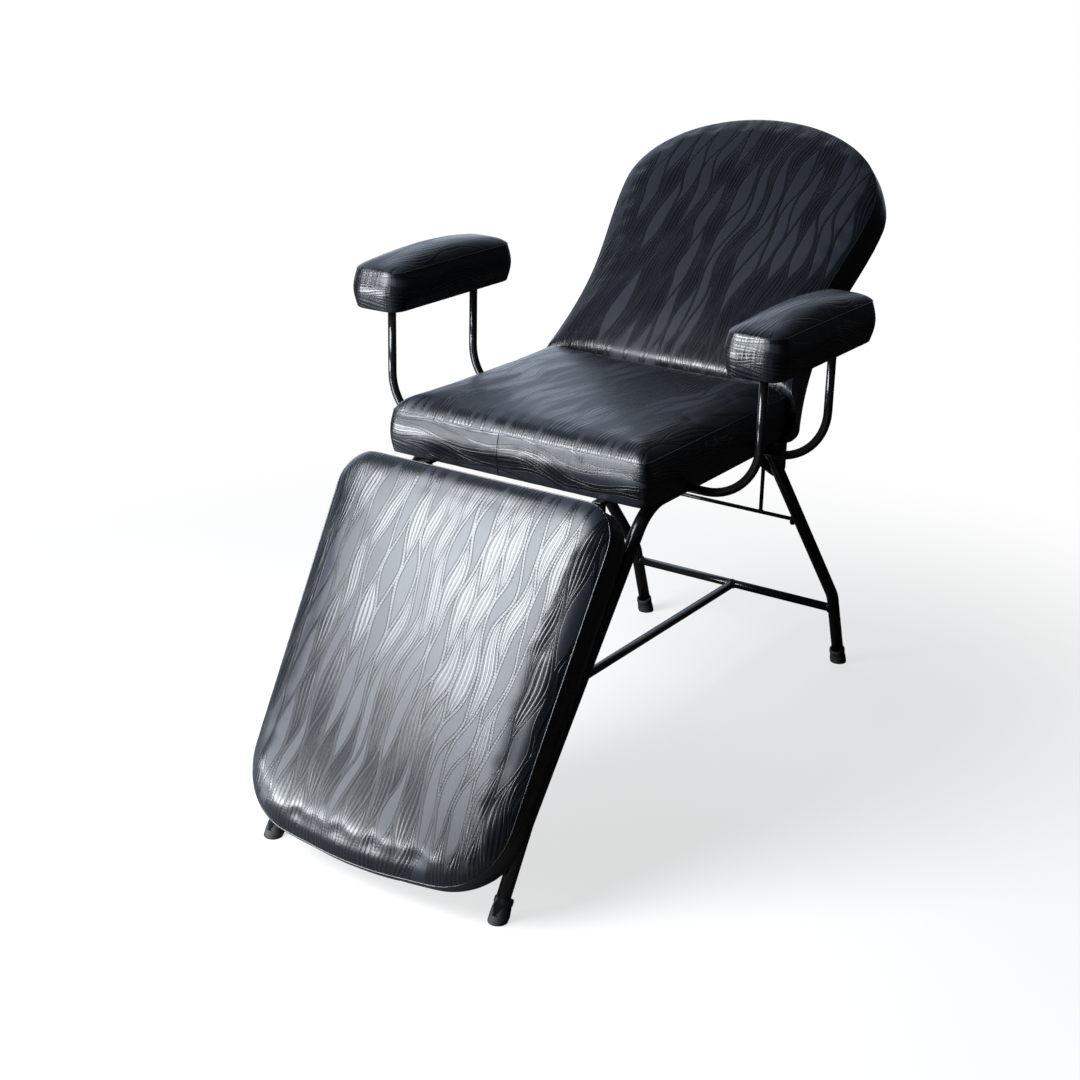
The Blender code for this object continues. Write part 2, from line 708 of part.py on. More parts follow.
def build_back_hinge(frame, back, side, sign):
    """A fixed plate on the rail and rear leg, an arm under the back board, and the pin through both."""
    outer = hinge_plate_outer_x()
    inner = outer - HINGE_PLATE
    eye = HINGE_PLATE_EYE
    corners = [
        (-HINGE_PLATE_FRONT, -HINGE_PLATE_FRONT_DROP),
        (0, -HINGE_PLATE_DROP),
        (HINGE_PLATE_BACK, -HINGE_PLATE_DROP),
        (HINGE_PLATE_BACK, -HINGE_PLATE_BACK_DROP),
        (eye, eye),
        (-eye, eye),
    ]
    radii = [HINGE_PLATE_CORNER] * len(corners)
    hole = circle(hole_radius(BACK_PIN_RADIUS, PIN_SIDES), PIN_SIDES)
    hinge = (0, BACK_HINGE_Y, BACK_HINGE_Z)
    plate = side_plate(rounded_outline(corners, radii), [hole], sign * inner, sign * outer)
    add_node(f"back_hinge_plate_{side}", plate, "paint", frame, hinge)

    arm_outer = inner - PLATE_CLEARANCE
    arm_inner = arm_outer - HINGE_PLATE
    flange_top = BACK_UNDERSIDE - GAP
    corners = [
        (-BACK_ARM_EYE, -BACK_ARM_EYE),
        (BACK_ARM_EYE, -BACK_ARM_EYE),
        (BACK_ARM_LENGTH, flange_top - BACK_ARM_EYE),
        (BACK_ARM_LENGTH, flange_top),
        (0, flange_top),
        (-BACK_ARM_EYE, BACK_ARM_EYE),
    ]
    radii = [BACK_ARM_EYE * 0.9, BACK_ARM_EYE / 2, HINGE_PLATE / 2, HINGE_PLATE / 2, HINGE_PLATE, HINGE_PLATE]
    web = side_plate(rounded_outline(corners, radii), [hole], sign * arm_inner, sign * arm_outer)
    arm = add_node(f"back_hinge_arm_{side}", web, "paint", back)
    low = flange_top - BACK_ARM_FLANGE_PLATE
    middle_x = sign * (arm_outer - GAP - BACK_ARM_FLANGE / 2)
    middle_y = (BACK_ARM_EYE + BACK_ARM_LENGTH - HINGE_PLATE) / 2
    reach = (BACK_ARM_LENGTH - HINGE_PLATE - BACK_ARM_EYE) / 2
    strip = rectangle((middle_x, middle_y), BACK_ARM_FLANGE / 2, reach)
    flange = add_node(f"flange_{side}", slab(strip, low, flange_top - GAP), "paint", back)
    flange.hide_render = True
    flange.display_type = "WIRE"
    join = arm.modifiers.new("flange", "BOOLEAN")
    join.operation = "UNION"
    join.object = flange

    sections = [
        (sign * (outer + GAP + PIN_HEAD), BACK_PIN_HEAD_RADIUS),
        (sign * (outer + GAP), BACK_PIN_HEAD_RADIUS),
        (sign * (outer + GAP), BACK_PIN_RADIUS),
        (sign * (arm_inner - GAP), BACK_PIN_RADIUS),
        (sign * (arm_inner - GAP), BACK_PIN_HEAD_RADIUS),
        (sign * (arm_inner - GAP - PIN_HEAD), BACK_PIN_HEAD_RADIUS),
    ]
    add_node(f"back_hinge_pin_{side}", turned_pin(sections, PIN_SIDES), "steel", frame, hinge)


# Leg rest: built lying level with its hinge axis at the origin, then turned down by its drop

def build_leg_rest(leg):
    head = LEG_HEAD_WIDTH / 2
    foot = LEG_FOOT_WIDTH / 2
    near = -LEG_END_AHEAD
    far = near - LEG_LENGTH
    heel = far + LEG_FOOT_BOW
    corners = [(-foot, heel), (0, far), (foot, heel), (head, near), (-head, near)]
    radii = [LEG_FOOT_CORNER, LEG_FOOT_BOW_RADIUS, LEG_FOOT_CORNER, LEG_HEAD_CORNER, LEG_HEAD_CORNER]
    outline = rounded_outline(corners, radii, EDGE_STEPS)
    centre = Vector((0, (near + far) / 2))
    board_top = LEG_UNDERSIDE + LEG_BOARD
    board = slab(inset_outline(outline, BOARD_INSET), LEG_UNDERSIDE, board_top)
    add_node("leg_board", board, "plywood", leg)
    body = cushion(outline, centre, board_top + GAP, LEG_HINGE_BELOW_TOP, LEG_CROWN, SIDE_DRAW, CROWN_RUN)
    add_node("leg_cushion", body, "vinyl", leg)
    for side, sign in SIDES.items():
        build_bumper(leg, side, sign * BUMPER_X)


def build_bumper(leg, side, x):
    """A rubber block under the leg board that rests on the front cross bar."""
    bar = Vector((FRONT_BAR_Y - LEG_HINGE_Y, CROSS_BAR_Z - LEG_HINGE_Z))
    bar.rotate(Matrix.Rotation(-LEG_DROP, 2))
    corners = rectangle((x, bar.x), BUMPER_WIDTH / 2, BUMPER_LENGTH / 2)
    body = slab(corners, bar.y + BAR_TUBE / 2 + GAP, LEG_UNDERSIDE - GAP)
    add_node(f"leg_bumper_{side}", body, "rubber", leg)


def build_leg_hinge(frame, leg, side, sign):
    """Two lugs side by side, one under the seat and one under the leg rest, on one pin."""
    middle = sign * LEG_HINGE_X
    half = LEG_HINGE_WIDTH / 2
    hole = circle(hole_radius(LEG_PIN_RADIUS, PIN_SIDES), PIN_SIDES)
    hinge = (0, LEG_HINGE_Y, LEG_HINGE_Z)
    eye = LEG_HINGE_EYE
    seat_top = SEAT_BOTTOM - GAP - LEG_HINGE_Z
    corners = [
        (-eye, -eye),
        (eye, -eye),
        (eye, seat_top - LEG_HINGE_LEAF),
        (LEG_HINGE_LEAF_LENGTH, seat_top - LEG_HINGE_LEAF),
        (LEG_HINGE_LEAF_LENGTH, seat_top),
        (-eye, seat_top),
    ]
    square = LEG_HINGE_LEAF / 5
    fixed = leaf_outline(corners, eye, square)
    body = side_plate(fixed, [hole], middle - sign * half, middle - sign * GAP)
    add_node(f"leg_hinge_seat_leaf_{side}", body, "paint", frame, hinge)

    leg_top = LEG_UNDERSIDE - GAP
    corners = [
        (eye, -eye),
        (-eye, -eye),
        (-2 * eye, leg_top - LEG_HINGE_LEAF),
        (-LEG_HINGE_LEAF_LENGTH, leg_top - LEG_HINGE_LEAF),
        (-LEG_HINGE_LEAF_LENGTH, leg_top),
        (-2 * LEG_END_AHEAD, leg_top),
    ]
    moving = leaf_outline(corners[::-1], eye, square)
    body = side_plate(moving, [hole], middle + sign * GAP, middle + sign * half)
    add_node(f"leg_hinge_leg_leaf_{side}", body, "paint", leg)

    low = middle - half - GAP
    high = middle + half + GAP
    sections = [
        (low - PIN_HEAD, LEG_PIN_HEAD_RADIUS),
        (low, LEG_PIN_HEAD_RADIUS),
        (low, LEG_PIN_RADIUS),
        (high, LEG_PIN_RADIUS),
        (high, LEG_PIN_HEAD_RADIUS),
        (high + PIN_HEAD, LEG_PIN_HEAD_RADIUS),
    ]
    add_node(f"leg_hinge_pin_{side}", turned_pin(sections, PIN_SIDES), "steel", frame, hinge)


def leaf_outline(corners, eye, square):
    """Rounds the two corners below the eye fully and the leaf's corners slightly."""
    radii = [eye * 0.95 if z < 0 else square for _, z in corners]
    return rounded_outline(corners, radii)


# Prop: a U of rod that turns in lugs on the rear legs and bears on strips under the back

def prop_bar_in_back():
    """Distance of the prop's top bar above the back's hinge, square to the back."""
    return BACK_UNDERSIDE - GAP - PROP_STRIP - PROP_CLEARANCE - PROP_BAR / 2


def prop_height():
    """Length of the upright prop that puts its top bar under the reclined back."""
    reach = PROP_FOOT_Y - BACK_HINGE_Y
    rise = (prop_bar_in_back() + reach * math.sin(BACK_RECLINE)) / math.cos(BACK_RECLINE)
    return BACK_HINGE_Z + rise - PROP_FOOT_Z


def prop_swing():
    """Angle through which the prop leans back when the back lies flat."""
    return math.acos((BACK_HINGE_Z + prop_bar_in_back() - PROP_FOOT_Z) / prop_height())


def build_prop(frame, back, prop):
    height = prop_height()
    lug_outer = RAIL_X - TUBE_RADIUS - GAP
    lug_inner = lug_outer - PROP_LUG
    rod = tube(straight((-lug_outer, 0, 0), (lug_outer, 0, 0)), (0, 0, 1), PROP_ROD, 0, SMALL_TUBE_SIDES)
    add_node("prop_foot_rod", rod, "paint", prop)
    run = straight((-PROP_BAR_HALF, 0, height), (PROP_BAR_HALF, 0, height))
    add_node("prop_top_bar", tube(run, (0, 0, 1), PROP_BAR, 0, SMALL_TUBE_SIDES), "paint", prop)
    hole = circle(hole_radius(PROP_ROD / 2, PIN_SIDES), PIN_SIDES)
    reach_y = PROP_FOOT_Y - BACK_HINGE_Y
    rest_y = reach_y / math.cos(BACK_RECLINE) + prop_bar_in_back() * math.tan(BACK_RECLINE)
    flat_y = reach_y + height * math.sin(prop_swing())
    for side, sign in SIDES.items():
        x = sign * PROP_UPRIGHT_X
        run = straight((x, 0, PROP_ROD / 2 + GAP), (x, 0, height - PROP_BAR / 2 - GAP))
        add_node(f"prop_upright_{side}", tube(run, (1, 0, 0), PROP_ROD, 0, SMALL_TUBE_SIDES), "paint", prop)
        lug = side_plate(circle(PROP_LUG_RADIUS, PIN_SIDES), [hole], sign * lug_inner, sign * lug_outer)
        add_node(f"prop_lug_{side}", lug, "paint", frame, (0, PROP_FOOT_Y, PROP_FOOT_Z))
        reach = (flat_y - rest_y) / 2 + PROP_STRIP_SPARE
        strip = rectangle((x, (rest_y + flat_y) / 2), PROP_STRIP_WIDTH / 2, reach)
        top = BACK_UNDERSIDE - GAP
        add_node(f"prop_strip_{side}", slab(strip, top - PROP_STRIP, top), "steel", back)


def centre_on_floor(root):
    """Moves the object along Y so that its box is centred on the origin."""
    bpy.context.view_layer.update()
    depsgraph = bpy.context.evaluated_depsgraph_get()
    ys = []
    for item in bpy.context.scene.objects:
        if item.type == "MESH" and not item.hide_render:
            solid = item.evaluated_get(depsgraph)
            ys.extend((solid.matrix_world @ v.co).y for v in solid.data.vertices)
    root.location.y = -(min(ys) + max(ys)) / 2


def main():
    clear_scene()
    root = add_empty("treatment_table", None, (0, 0, 0))
    back = add_empty("back_pivot", root, (0, BACK_HINGE_Y, BACK_HINGE_Z), BACK_RECLINE)
    leg = add_empty("leg_pivot", root, (0, LEG_HINGE_Y, LEG_HINGE_Z), LEG_DROP)
    prop = add_empty("prop_pivot", root, (0, PROP_FOOT_Y, PROP_FOOT_Z))
    build_cross_tubes(root)
    build_seat(root)
    build_back(back)
    build_leg_rest(leg)
    build_prop(root, back, prop)
    for side, sign in SIDES.items():
        build_legs(root, side, sign)
        build_arm(root, side, sign)
        build_back_hinge(root, back, side, sign)
        build_leg_hinge(root, leg, side, sign)
    centre_on_floor(root)


main()
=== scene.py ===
"""Treatment table: black embossed covers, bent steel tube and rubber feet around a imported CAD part."""

# %% [markdown]
# # Treatment table
# The CAD part gives the frame, the hinges and the boards. This script adds what an upholsterer and a
# painter add: stuffed covers with seams, smooth painted tube, weld beads, screws, and studio light.
# Every piece is tied to the CAD body that it moves with.

import json
import math

import bmesh
import bpy
import numpy as np
from mathutils import Matrix, Vector


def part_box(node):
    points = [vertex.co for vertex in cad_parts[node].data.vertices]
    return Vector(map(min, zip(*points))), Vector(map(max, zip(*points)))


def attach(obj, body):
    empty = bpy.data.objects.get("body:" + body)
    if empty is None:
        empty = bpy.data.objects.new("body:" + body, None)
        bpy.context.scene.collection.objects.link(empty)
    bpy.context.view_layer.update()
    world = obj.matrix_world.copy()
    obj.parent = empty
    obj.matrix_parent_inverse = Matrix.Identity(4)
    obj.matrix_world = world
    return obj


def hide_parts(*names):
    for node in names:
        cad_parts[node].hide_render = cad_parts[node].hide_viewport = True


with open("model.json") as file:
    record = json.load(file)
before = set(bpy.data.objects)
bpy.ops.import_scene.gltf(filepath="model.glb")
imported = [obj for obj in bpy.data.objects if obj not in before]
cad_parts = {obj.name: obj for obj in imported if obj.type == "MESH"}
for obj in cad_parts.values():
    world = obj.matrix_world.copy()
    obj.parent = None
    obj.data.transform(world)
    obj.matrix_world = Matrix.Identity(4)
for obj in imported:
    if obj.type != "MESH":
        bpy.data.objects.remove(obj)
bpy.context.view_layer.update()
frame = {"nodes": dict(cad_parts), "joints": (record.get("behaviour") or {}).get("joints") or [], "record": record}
scene = bpy.context.scene
joint_place = {joint["name"]: Vector(joint["pos_m"]) for joint in frame["joints"]}

# %% [markdown]
# ## Main sizes
# These are the sizes of the CAD part, in metres. The back and the leg rest are drawn lying flat with
# their hinge at the origin and are then turned into place, as a workshop would build them.

# %% Sizes and places
FULL_TURN = 2 * math.pi
SEAT_WIDTH = 0.54
SEAT_DEPTH = 0.52
SEAT_HEIGHT = 0.707
SEAT_THICKNESS = 0.091
SEAT_BOARD = 0.015
BACK_RECLINE = math.radians(45)
BACK_LENGTH = 0.606
BACK_THICKNESS = 0.08
LEG_DROP = math.radians(59)
LEG_LENGTH = 0.686
LEG_THICKNESS = 0.066
LEG_TOP = 0.12
ARM_WIDTH = 0.108
ARM_LENGTH = 0.384
ARM_THICKNESS = 0.073
ARM_X = 0.395
ARM_Y = 0.043
ARM_BOTTOM = 0.839
THIN_BOARD = 0.012
BOARD_INSET = 0.003

seat_low, seat_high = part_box("seat_board")
SHIFT = Vector((0, (seat_low.y + seat_high.y) / 2, 0))
SEAT_BOTTOM = SEAT_HEIGHT - SEAT_THICKNESS
BACK_FACE = SEAT_HEIGHT - joint_place["back_recline"].z
BACK_START = BACK_FACE * math.tan(BACK_RECLINE / 2)
IN_SEAT = Matrix.Translation(SHIFT)
IN_BACK = Matrix.Translation(joint_place["back_recline"]) @ Matrix.Rotation(BACK_RECLINE, 4, "X")
IN_LEG = Matrix.Translation(joint_place["leg_rest_lift"]) @ Matrix.Rotation(LEG_DROP, 4, "X")
IN_PROP = Matrix.Translation(joint_place["prop_swing"])
SIDES = {"left": 1, "right": -1}
print("the seat's middle lies at y =", round(SHIFT.y, 5))

# %% [markdown]
# ## Sums in a shader
# A procedural finish is a long sum. This small class wraps one output of a shader node, so the sum can be
# written in Python and each operator adds its Math node. Any other node is added with `node`.


# %% A shader value that can be summed
class Signal:
    """One value in a shader. Sums of signals add Math nodes to the material."""

    def __init__(self, tree, socket=None):
        self.tree = tree
        self.socket = socket

    def node(self, kind, inputs=None, output=0, **settings):
        made = self.tree.nodes.new(kind)
        for name, value in settings.items():
            setattr(made, name, value)
        for name, value in (inputs or {}).items():
            self.feed(made.inputs[name], value)
        return Signal(self.tree, made.outputs[output])

    def feed(self, socket, value):
        if isinstance(value, Signal):
            self.tree.links.new(value.socket, socket)
        else:
            socket.default_value = value

    def maths(self, operation, *values):
        return self.node("ShaderNodeMath", dict(enumerate(values)), operation=operation)

    def __add__(self, other):
        return self.maths("ADD", self, other)

    def __sub__(self, other):
        return self.maths("SUBTRACT", self, other)

    def __rsub__(self, other):
        return self.maths("SUBTRACT", other, self)

    def __mul__(self, other):
        return self.maths("MULTIPLY", self, other)

    def __truediv__(self, other):
        return self.maths("DIVIDE", self, other)

    __radd__ = __add__
    __rmul__ = __mul__

    def sine(self):
        return self.maths("SINE", self)

    def cosine(self):
        return self.maths("COSINE", self)

    def floor(self):
        return self.maths("FLOOR", self)

    def size(self):
        return self.maths("ABSOLUTE", self)

    def above(self, limit):
        return self.maths("GREATER_THAN", self, limit)

    def least(self, other):
        return self.maths("MINIMUM", self, other)

    def ease(self, low, high):
        """0 below low, 1 above high and a smooth step between them."""
        limits = {"Value": self, "From Min": low, "From Max": high}
        return self.node("ShaderNodeMapRange", limits, interpolation_type="SMOOTHSTEP")

    def mix(self, first, second):
        """The first colour where this signal is 0 and the second where it is 1."""
        return self.node("ShaderNodeMix", {0: self, 6: first, 7: second}, 2, data_type="RGBA")

    def object_place(self):
        return self.node("ShaderNodeTexCoord", output="Object")

    def part(self, axis):
        return self.node("ShaderNodeSeparateXYZ", {0: self}, axis)

    def stretch(self, x, y, z):
        """The place that this signal carries, multiplied along each axis."""
        return self.node("ShaderNodeVectorMath", {0: self, 1: (x, y, z)}, operation="MULTIPLY")

    def noise(self, scale, detail=2.0, roughness=0.5):
        """Cloudy noise about 0, over the place that this signal carries."""
        values = {"Vector": self, "Scale": scale, "Detail": detail, "Roughness": roughness}
        return self.node("ShaderNodeTexNoise", values, "Fac") - 0.5

    def chance(self):
        """A random value from 0 to 1 for each whole number."""
        return self.node("ShaderNodeTexWhiteNoise", {"W": self}, "Value", noise_dimensions="1D")


def grey(level):
    return (level, level, level, 1.0)


def start_material(name):
    material = bpy.data.materials.new(name)
    material.use_nodes = True
    shader = material.node_tree.nodes["Principled BSDF"]
    return material, Signal(material.node_tree), shader


def finish_material(graph, shader, colour, roughness, height=None, depth=0.001):
    """Feeds the varying values of a finish. Height is in units of depth, in metres."""
    graph.feed(shader.inputs["Base Color"], colour)
    graph.feed(shader.inputs["Roughness"], roughness)
    if height is not None:
        bump = graph.node("ShaderNodeBump", {"Height": height, "Distance": depth}, "Normal")
        graph.feed(shader.inputs["Normal"], bump)


print("shader sums ready")

# %% [markdown]
# ## The embossed cover
# The cover is black artificial leather, pressed with a net of wavy lines that look like stitched ladders.
# Neighbouring lines sway against each other, so they pinch and swell and leave pointed cells between them.
# Chance makes each cell a plain dull leaf or a glossy one with fine ridges, so plain leaves look pale in
# the shade and dark in a highlight. The panels carry their flat cutting pattern as a map named Cover, so
# the net follows the cloth. Lengths of the net are in metres, and heights are in millimetres.

# %% Embossed vinyl
COLUMN = 0.0168
SWAY = 0.46
SWAY_LENGTH = 0.225
LEAN = 0.10
BAND = 0.0027
BAND_EDGE = 0.0007
RUNG_PITCH = 0.0054
RIDGES = 4
RIBBED_SHARE = 0.53
LEAF_RISE = 0.10
RIDGE_RISE = 0.22
BAND_RISE = 0.08
RUNG_RISE = 0.06
GROOVE_DROP = 0.20
GRAIN_RISE = 0.008
WRINKLE_RISE = 3.0
DEEP_BLACK = (0.0010, 0.0015, 0.0028, 1.0)
SOFT_BLACK = (0.0106, 0.0136, 0.0206, 1.0)


def line_phase(index):
    """Every second line sways the other way. Chance makes each differ."""
    return index * math.pi + (index * 1.37 + 0.5).chance() * 2.4


def column_line(index, turn):
    """Where the swaying line with this number runs, counted in columns."""
    return index + (turn + line_phase(index)).sine() * SWAY


def embossed_vinyl():
    material, graph, shader = start_material("embossed_vinyl")
    cloth = graph.node("ShaderNodeUVMap", uv_map="Cover")
    along = cloth.part(1)
    turn = along * (FULL_TURN / SWAY_LENGTH) + cloth.noise(7.0, 1.0) * 3.0
    column = (cloth.part(0) - along * LEAN + cloth.noise(5.0, 1.0) * 0.05) / COLUMN
    nearest = (column + 0.5).floor()
    number = nearest - 1.0 + column.above(column_line(nearest, turn))
    left = column_line(number, turn)
    width = column_line(number + 1.0, turn) - left
    share = (column - left) / width
    middle = (line_phase(number) + line_phase(number + 1.0)) * 0.5
    row = ((turn + middle) / FULL_TURN - 0.5).floor()
    luck = (number * 7.13 + row * 3.71).chance()
    plain = luck.above(RIBBED_SHARE)
    gap = share.least(1.0 - share) * width * COLUMN
    inside = gap.ease(BAND, BAND + BAND_EDGE)
    leaf = inside * plain
    ridged = inside * (1.0 - plain)
    band = 1.0 - gap.ease(BAND * 0.75, BAND)
    groove = 1.0 - (gap - BAND).size().ease(0.0002, 0.0009)
    comb = (share * (FULL_TURN * RIDGES)).cosine() * 0.5 + 0.5
    ridges = comb.ease(0.15, 0.75)
    valleys = ridged * (1.0 - ridges)
    rungs = ((along * (FULL_TURN / RUNG_PITCH)).sine() * 0.5 + 0.5).ease(0.08, 0.45)
    dents = (groove * 0.9 + band * (1.0 - rungs) * 0.8).least(1.0)
    grain = cloth.noise(1100.0, 2.0, 0.6)
    worn = cloth.noise(9.0, 3.0)
    folds = graph.node("ShaderNodeAttribute", output="Fac", attribute_name="gather")
    pull = graph.node("ShaderNodeUVMap", uv_map="Pull")
    wrinkles = pull.stretch(140.0, 20.0, 0.0).noise(1.0, 1.5) * folds
    raised = leaf * LEAF_RISE + ridged * ridges * RIDGE_RISE + band * (rungs * RUNG_RISE + BAND_RISE)
    height = raised - groove * GROOVE_DROP + grain * GRAIN_RISE + wrinkles * WRINKLE_RISE
    # The ridge crests are painted lighter than the black between them: a painted highlight where light would catch
    # the raised lines.
    tone = leaf * (0.1 + luck * 0.9) + ridged * comb.ease(0.45, 0.95) * 0.6
    tone = tone + band * rungs * 0.2 + worn * 0.10
    roughness = 0.26 + leaf * (0.26 - luck * 0.11) + dents * 0.08
    roughness = roughness + valleys * 0.03 + band * 0.03 + worn * 0.06
    finish_material(graph, shader, tone.mix(DEEP_BLACK, SOFT_BLACK), roughness, height)
    gloss = 0.24 - leaf * 0.19 - valleys * 0.24 - band * 0.10
    graph.feed(shader.inputs["Coat Weight"], gloss * (1.0 - dents))
    shader.inputs["Coat Roughness"].default_value = 0.18
    return material


VINYL = embossed_vinyl()
print(VINYL.name, "nodes:", len(VINYL.node_tree.nodes))

# %% [markdown]
# ## Paint, rubber, plywood, steel and plastic
# The frame has a gloss black enamel with a faint orange peel and some dust on what faces up. Rubber is
# dull and greyer near the floor. Plywood shows long grain across the table. Bright steel has fine brush
# marks. These finishes use the place on the object, so they need no map.


# %% The other finishes
def upward_dust(graph, spot):
    """More dust on faces that look up, in patches."""
    up = graph.node("ShaderNodeNewGeometry", output="Normal").part(2)
    return up.ease(0.35, 1.0) * (spot.noise(30.0, 3.0) + 0.5).ease(0.35, 0.75)


def gloss_paint():
    material, graph, shader = start_material("gloss_black_paint")
    spot = graph.object_place()
    dust = upward_dust(graph, spot)
    scuff = (spot.noise(70.0, 4.0, 0.7) + 0.5).ease(0.62, 0.78)
    colour = (dust * 0.35 + scuff * 0.25).mix((0.0045, 0.0045, 0.005, 1.0), (0.035, 0.034, 0.033, 1.0))
    roughness = 0.17 + dust * 0.16 + scuff * 0.14
    finish_material(graph, shader, colour, roughness, spot.noise(420.0, 1.0), 0.00012)
    shader.inputs["Specular IOR Level"].default_value = 0.35
    shader.inputs["Coat Weight"].default_value = 0.15
    shader.inputs["Coat Roughness"].default_value = 0.06
    return material


def dull_rubber():
    material, graph, shader = start_material("black_rubber")
    spot = graph.object_place()
    low = 1.0 - spot.part(2).ease(0.001, 0.02)
    scuff = (spot.noise(160.0, 4.0, 0.65) + 0.5).ease(0.45, 0.7)
    colour = (low * 0.5 + scuff * 0.35).mix((0.010, 0.010, 0.0105, 1.0), (0.05, 0.049, 0.047, 1.0))
    finish_material(graph, shader, colour, 0.62 + scuff * 0.2, spot.noise(900.0, 3.0), 0.0002)
    return material


def plywood():
    material, graph, shader = start_material("plywood")
    spot = graph.object_place()
    grain = spot.stretch(3.0, 45.0, 45.0).noise(1.0, 5.0, 0.6) + 0.5
    rings = (grain * 38.0).sine() * 0.5 + 0.5
    pores = spot.stretch(60.0, 900.0, 900.0).noise(1.0, 2.0) + 0.5
    dark = (rings * 0.45 + grain * 0.45 + pores.ease(0.6, 0.8) * 0.4).least(1.0)
    colour = dark.mix((0.50, 0.36, 0.215, 1.0), (0.30, 0.19, 0.10, 1.0))
    finish_material(graph, shader, colour, 0.58 + dark * 0.12, pores + rings * 0.3, 0.0002)
    return material


def bright_steel():
    material, graph, shader = start_material("zinc_plated_steel")
    spot = graph.object_place()
    brushed = spot.stretch(40.0, 1500.0, 1500.0).noise(1.0, 2.0)
    patch = spot.noise(120.0, 3.0)
    colour = (patch + 0.5).mix((0.46, 0.46, 0.48, 1.0), (0.62, 0.62, 0.60, 1.0))
    finish_material(graph, shader, colour, 0.30 + brushed * 0.12 + patch * 0.12, brushed, 0.00008)
    shader.inputs["Metallic"].default_value = 1.0
    return material


def dull_plastic():
    material, graph, shader = start_material("black_plastic")
    spot = graph.object_place()
    speck = spot.noise(700.0, 2.0)
    colour = (spot.noise(60.0, 3.0) + 0.5).mix(grey(0.010), grey(0.018))
    finish_material(graph, shader, colour, 0.46 + speck * 0.12, speck, 0.00015)
    return material


FINISHES = {
    "vinyl": VINYL,
    "paint": gloss_paint(),
    "rubber": dull_rubber(),
    "plywood": plywood(),
    "steel": bright_steel(),
    "plastic": dull_plastic(),
}
for part in frame["record"]["subparts"]:
    node = frame["nodes"][part["node"]]
    node.data.materials.clear()
    node.data.materials.append(FINISHES[part["material_slot"]])
print("finishes:", ", ".join(material.name for material in FINISHES.values()))

# %% [markdown]
# ## From points to pieces
# Most pieces here are lists of points and faces. One helper turns them into an object, ties it to its CAD
# body and hides the CAD pieces that it stands for. Another gathers many small shapes into one piece, and the
# rest draw circles, round bars and round bends.


# %% Making pieces
class Shape:
    """Points and faces that are gathered before they become one piece."""

    def __init__(self):
        self.points = []
        self.faces = []
        self.flat = []

    def add(self, points, faces, flat=()):
        base = len(self.points)
        self.flat.extend(len(self.faces) + i for i in flat)
        self.points.extend(Vector(p) for p in points)
        self.faces.extend(tuple(base + i for i in face) for face in faces)
        return self


def make_piece(name, shape, slot, body, matrix=IN_SEAT, stands_for=()):
    mesh = bpy.data.meshes.new(name)
    mesh.from_pydata([matrix @ p for p in shape.points], [], shape.faces)
    mesh.shade_smooth()
    for index in shape.flat:
        mesh.polygons[index].use_smooth = False
    mesh.materials.append(FINISHES[slot])
    piece = bpy.data.objects.new(name, mesh)
    scene.collection.objects.link(piece)
    return tie(piece, body, stands_for)


def tie(piece, body, stands_for=()):
    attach(piece, body)
    if stands_for:
        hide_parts(*stands_for)
    return piece


def circle(sides):
    """Cosine and sine of even turns round a circle."""
    turns = [FULL_TURN * k / sides for k in range(sides)]
    return [(math.cos(turn), math.sin(turn)) for turn in turns]


def skin(rings, sides, closed=False):
    """Faces between a stack of rings, each with as many points as sides."""
    faces = []
    for i in range(rings if closed else rings - 1):
        here = i * sides
        there = (i + 1) % rings * sides
        for k in range(sides):
            j = (k + 1) % sides
            faces.append((here + k, here + j, there + j, there + k))
    return faces


def tube(points, radii, up, sides=24, closed=False):
    """A round bar along a path. Up is a direction that the path never takes."""
    path = [Vector(p) for p in points]
    count = len(path)
    if not hasattr(radii, "__len__"):
        radii = [radii] * count
    ring_points = []
    for i, point in enumerate(path):
        ahead = path[(i + 1) % count] if closed or i + 1 < count else point
        behind = path[i - 1] if closed or i > 0 else point
        side = (ahead - behind).cross(Vector(up)).normalized()
        other = side.cross(ahead - behind).normalized()
        ring_points.extend(point + (side * c + other * s) * radii[i] for c, s in circle(sides))
    faces = skin(count, sides, closed)
    flat = []
    if not closed:
        flat = [len(faces), len(faces) + 1]
        faces.append(tuple(range(sides - 1, -1, -1)))
        faces.append(tuple(range((count - 1) * sides, count * sides)))
    return ring_points, faces, flat


def corner_arc(before, here, after, radius):
    """The arc that rounds a corner: its centre, where it starts from there, how far it turns, its axis."""
    before = (before - here).normalized()
    after = (after - here).normalized()
    half = before.angle(after) / 2
    centre = here + (before + after).normalized() * (radius / math.sin(half))
    start = here + before * (radius / math.tan(half)) - centre
    return centre, start, math.pi - 2 * half, before.cross(after)


def bent_path(corners, radii, steps=14):
    """Straight runs with round bends at the inner corners."""
    corners = [Vector(c) for c in corners]
    path = [corners[0]]
    for i, radius in enumerate(radii, start=1):
        centre, start, turn, axis = corner_arc(*corners[i - 1 : i + 2], radius)
        for k in range(steps + 1):
            path.append(centre + Matrix.Rotation(-turn * k / steps, 3, axis) @ start)
    path.append(corners[-1])
    return path


print("piece helpers ready")

# %% [markdown]
# ## Cutting a cover
# A boxed cover has a top panel and a side panel, sewn along one edge, and its hem is pulled under the
# board. The top panel is an even grid of squares that fills the outline. Narrow rows beside the seam keep
# it crisp.

# %% The grid of a cover
NARROW = 0.0035


def rectangle(x, y, width, length):
    """Corners of a rectangle round a middle, counter-clockwise."""
    across = width / 2
    along = length / 2
    turns = ((-1, -1), (1, -1), (1, 1), (-1, 1))
    return [(x + across * i, y + along * j) for i, j in turns]


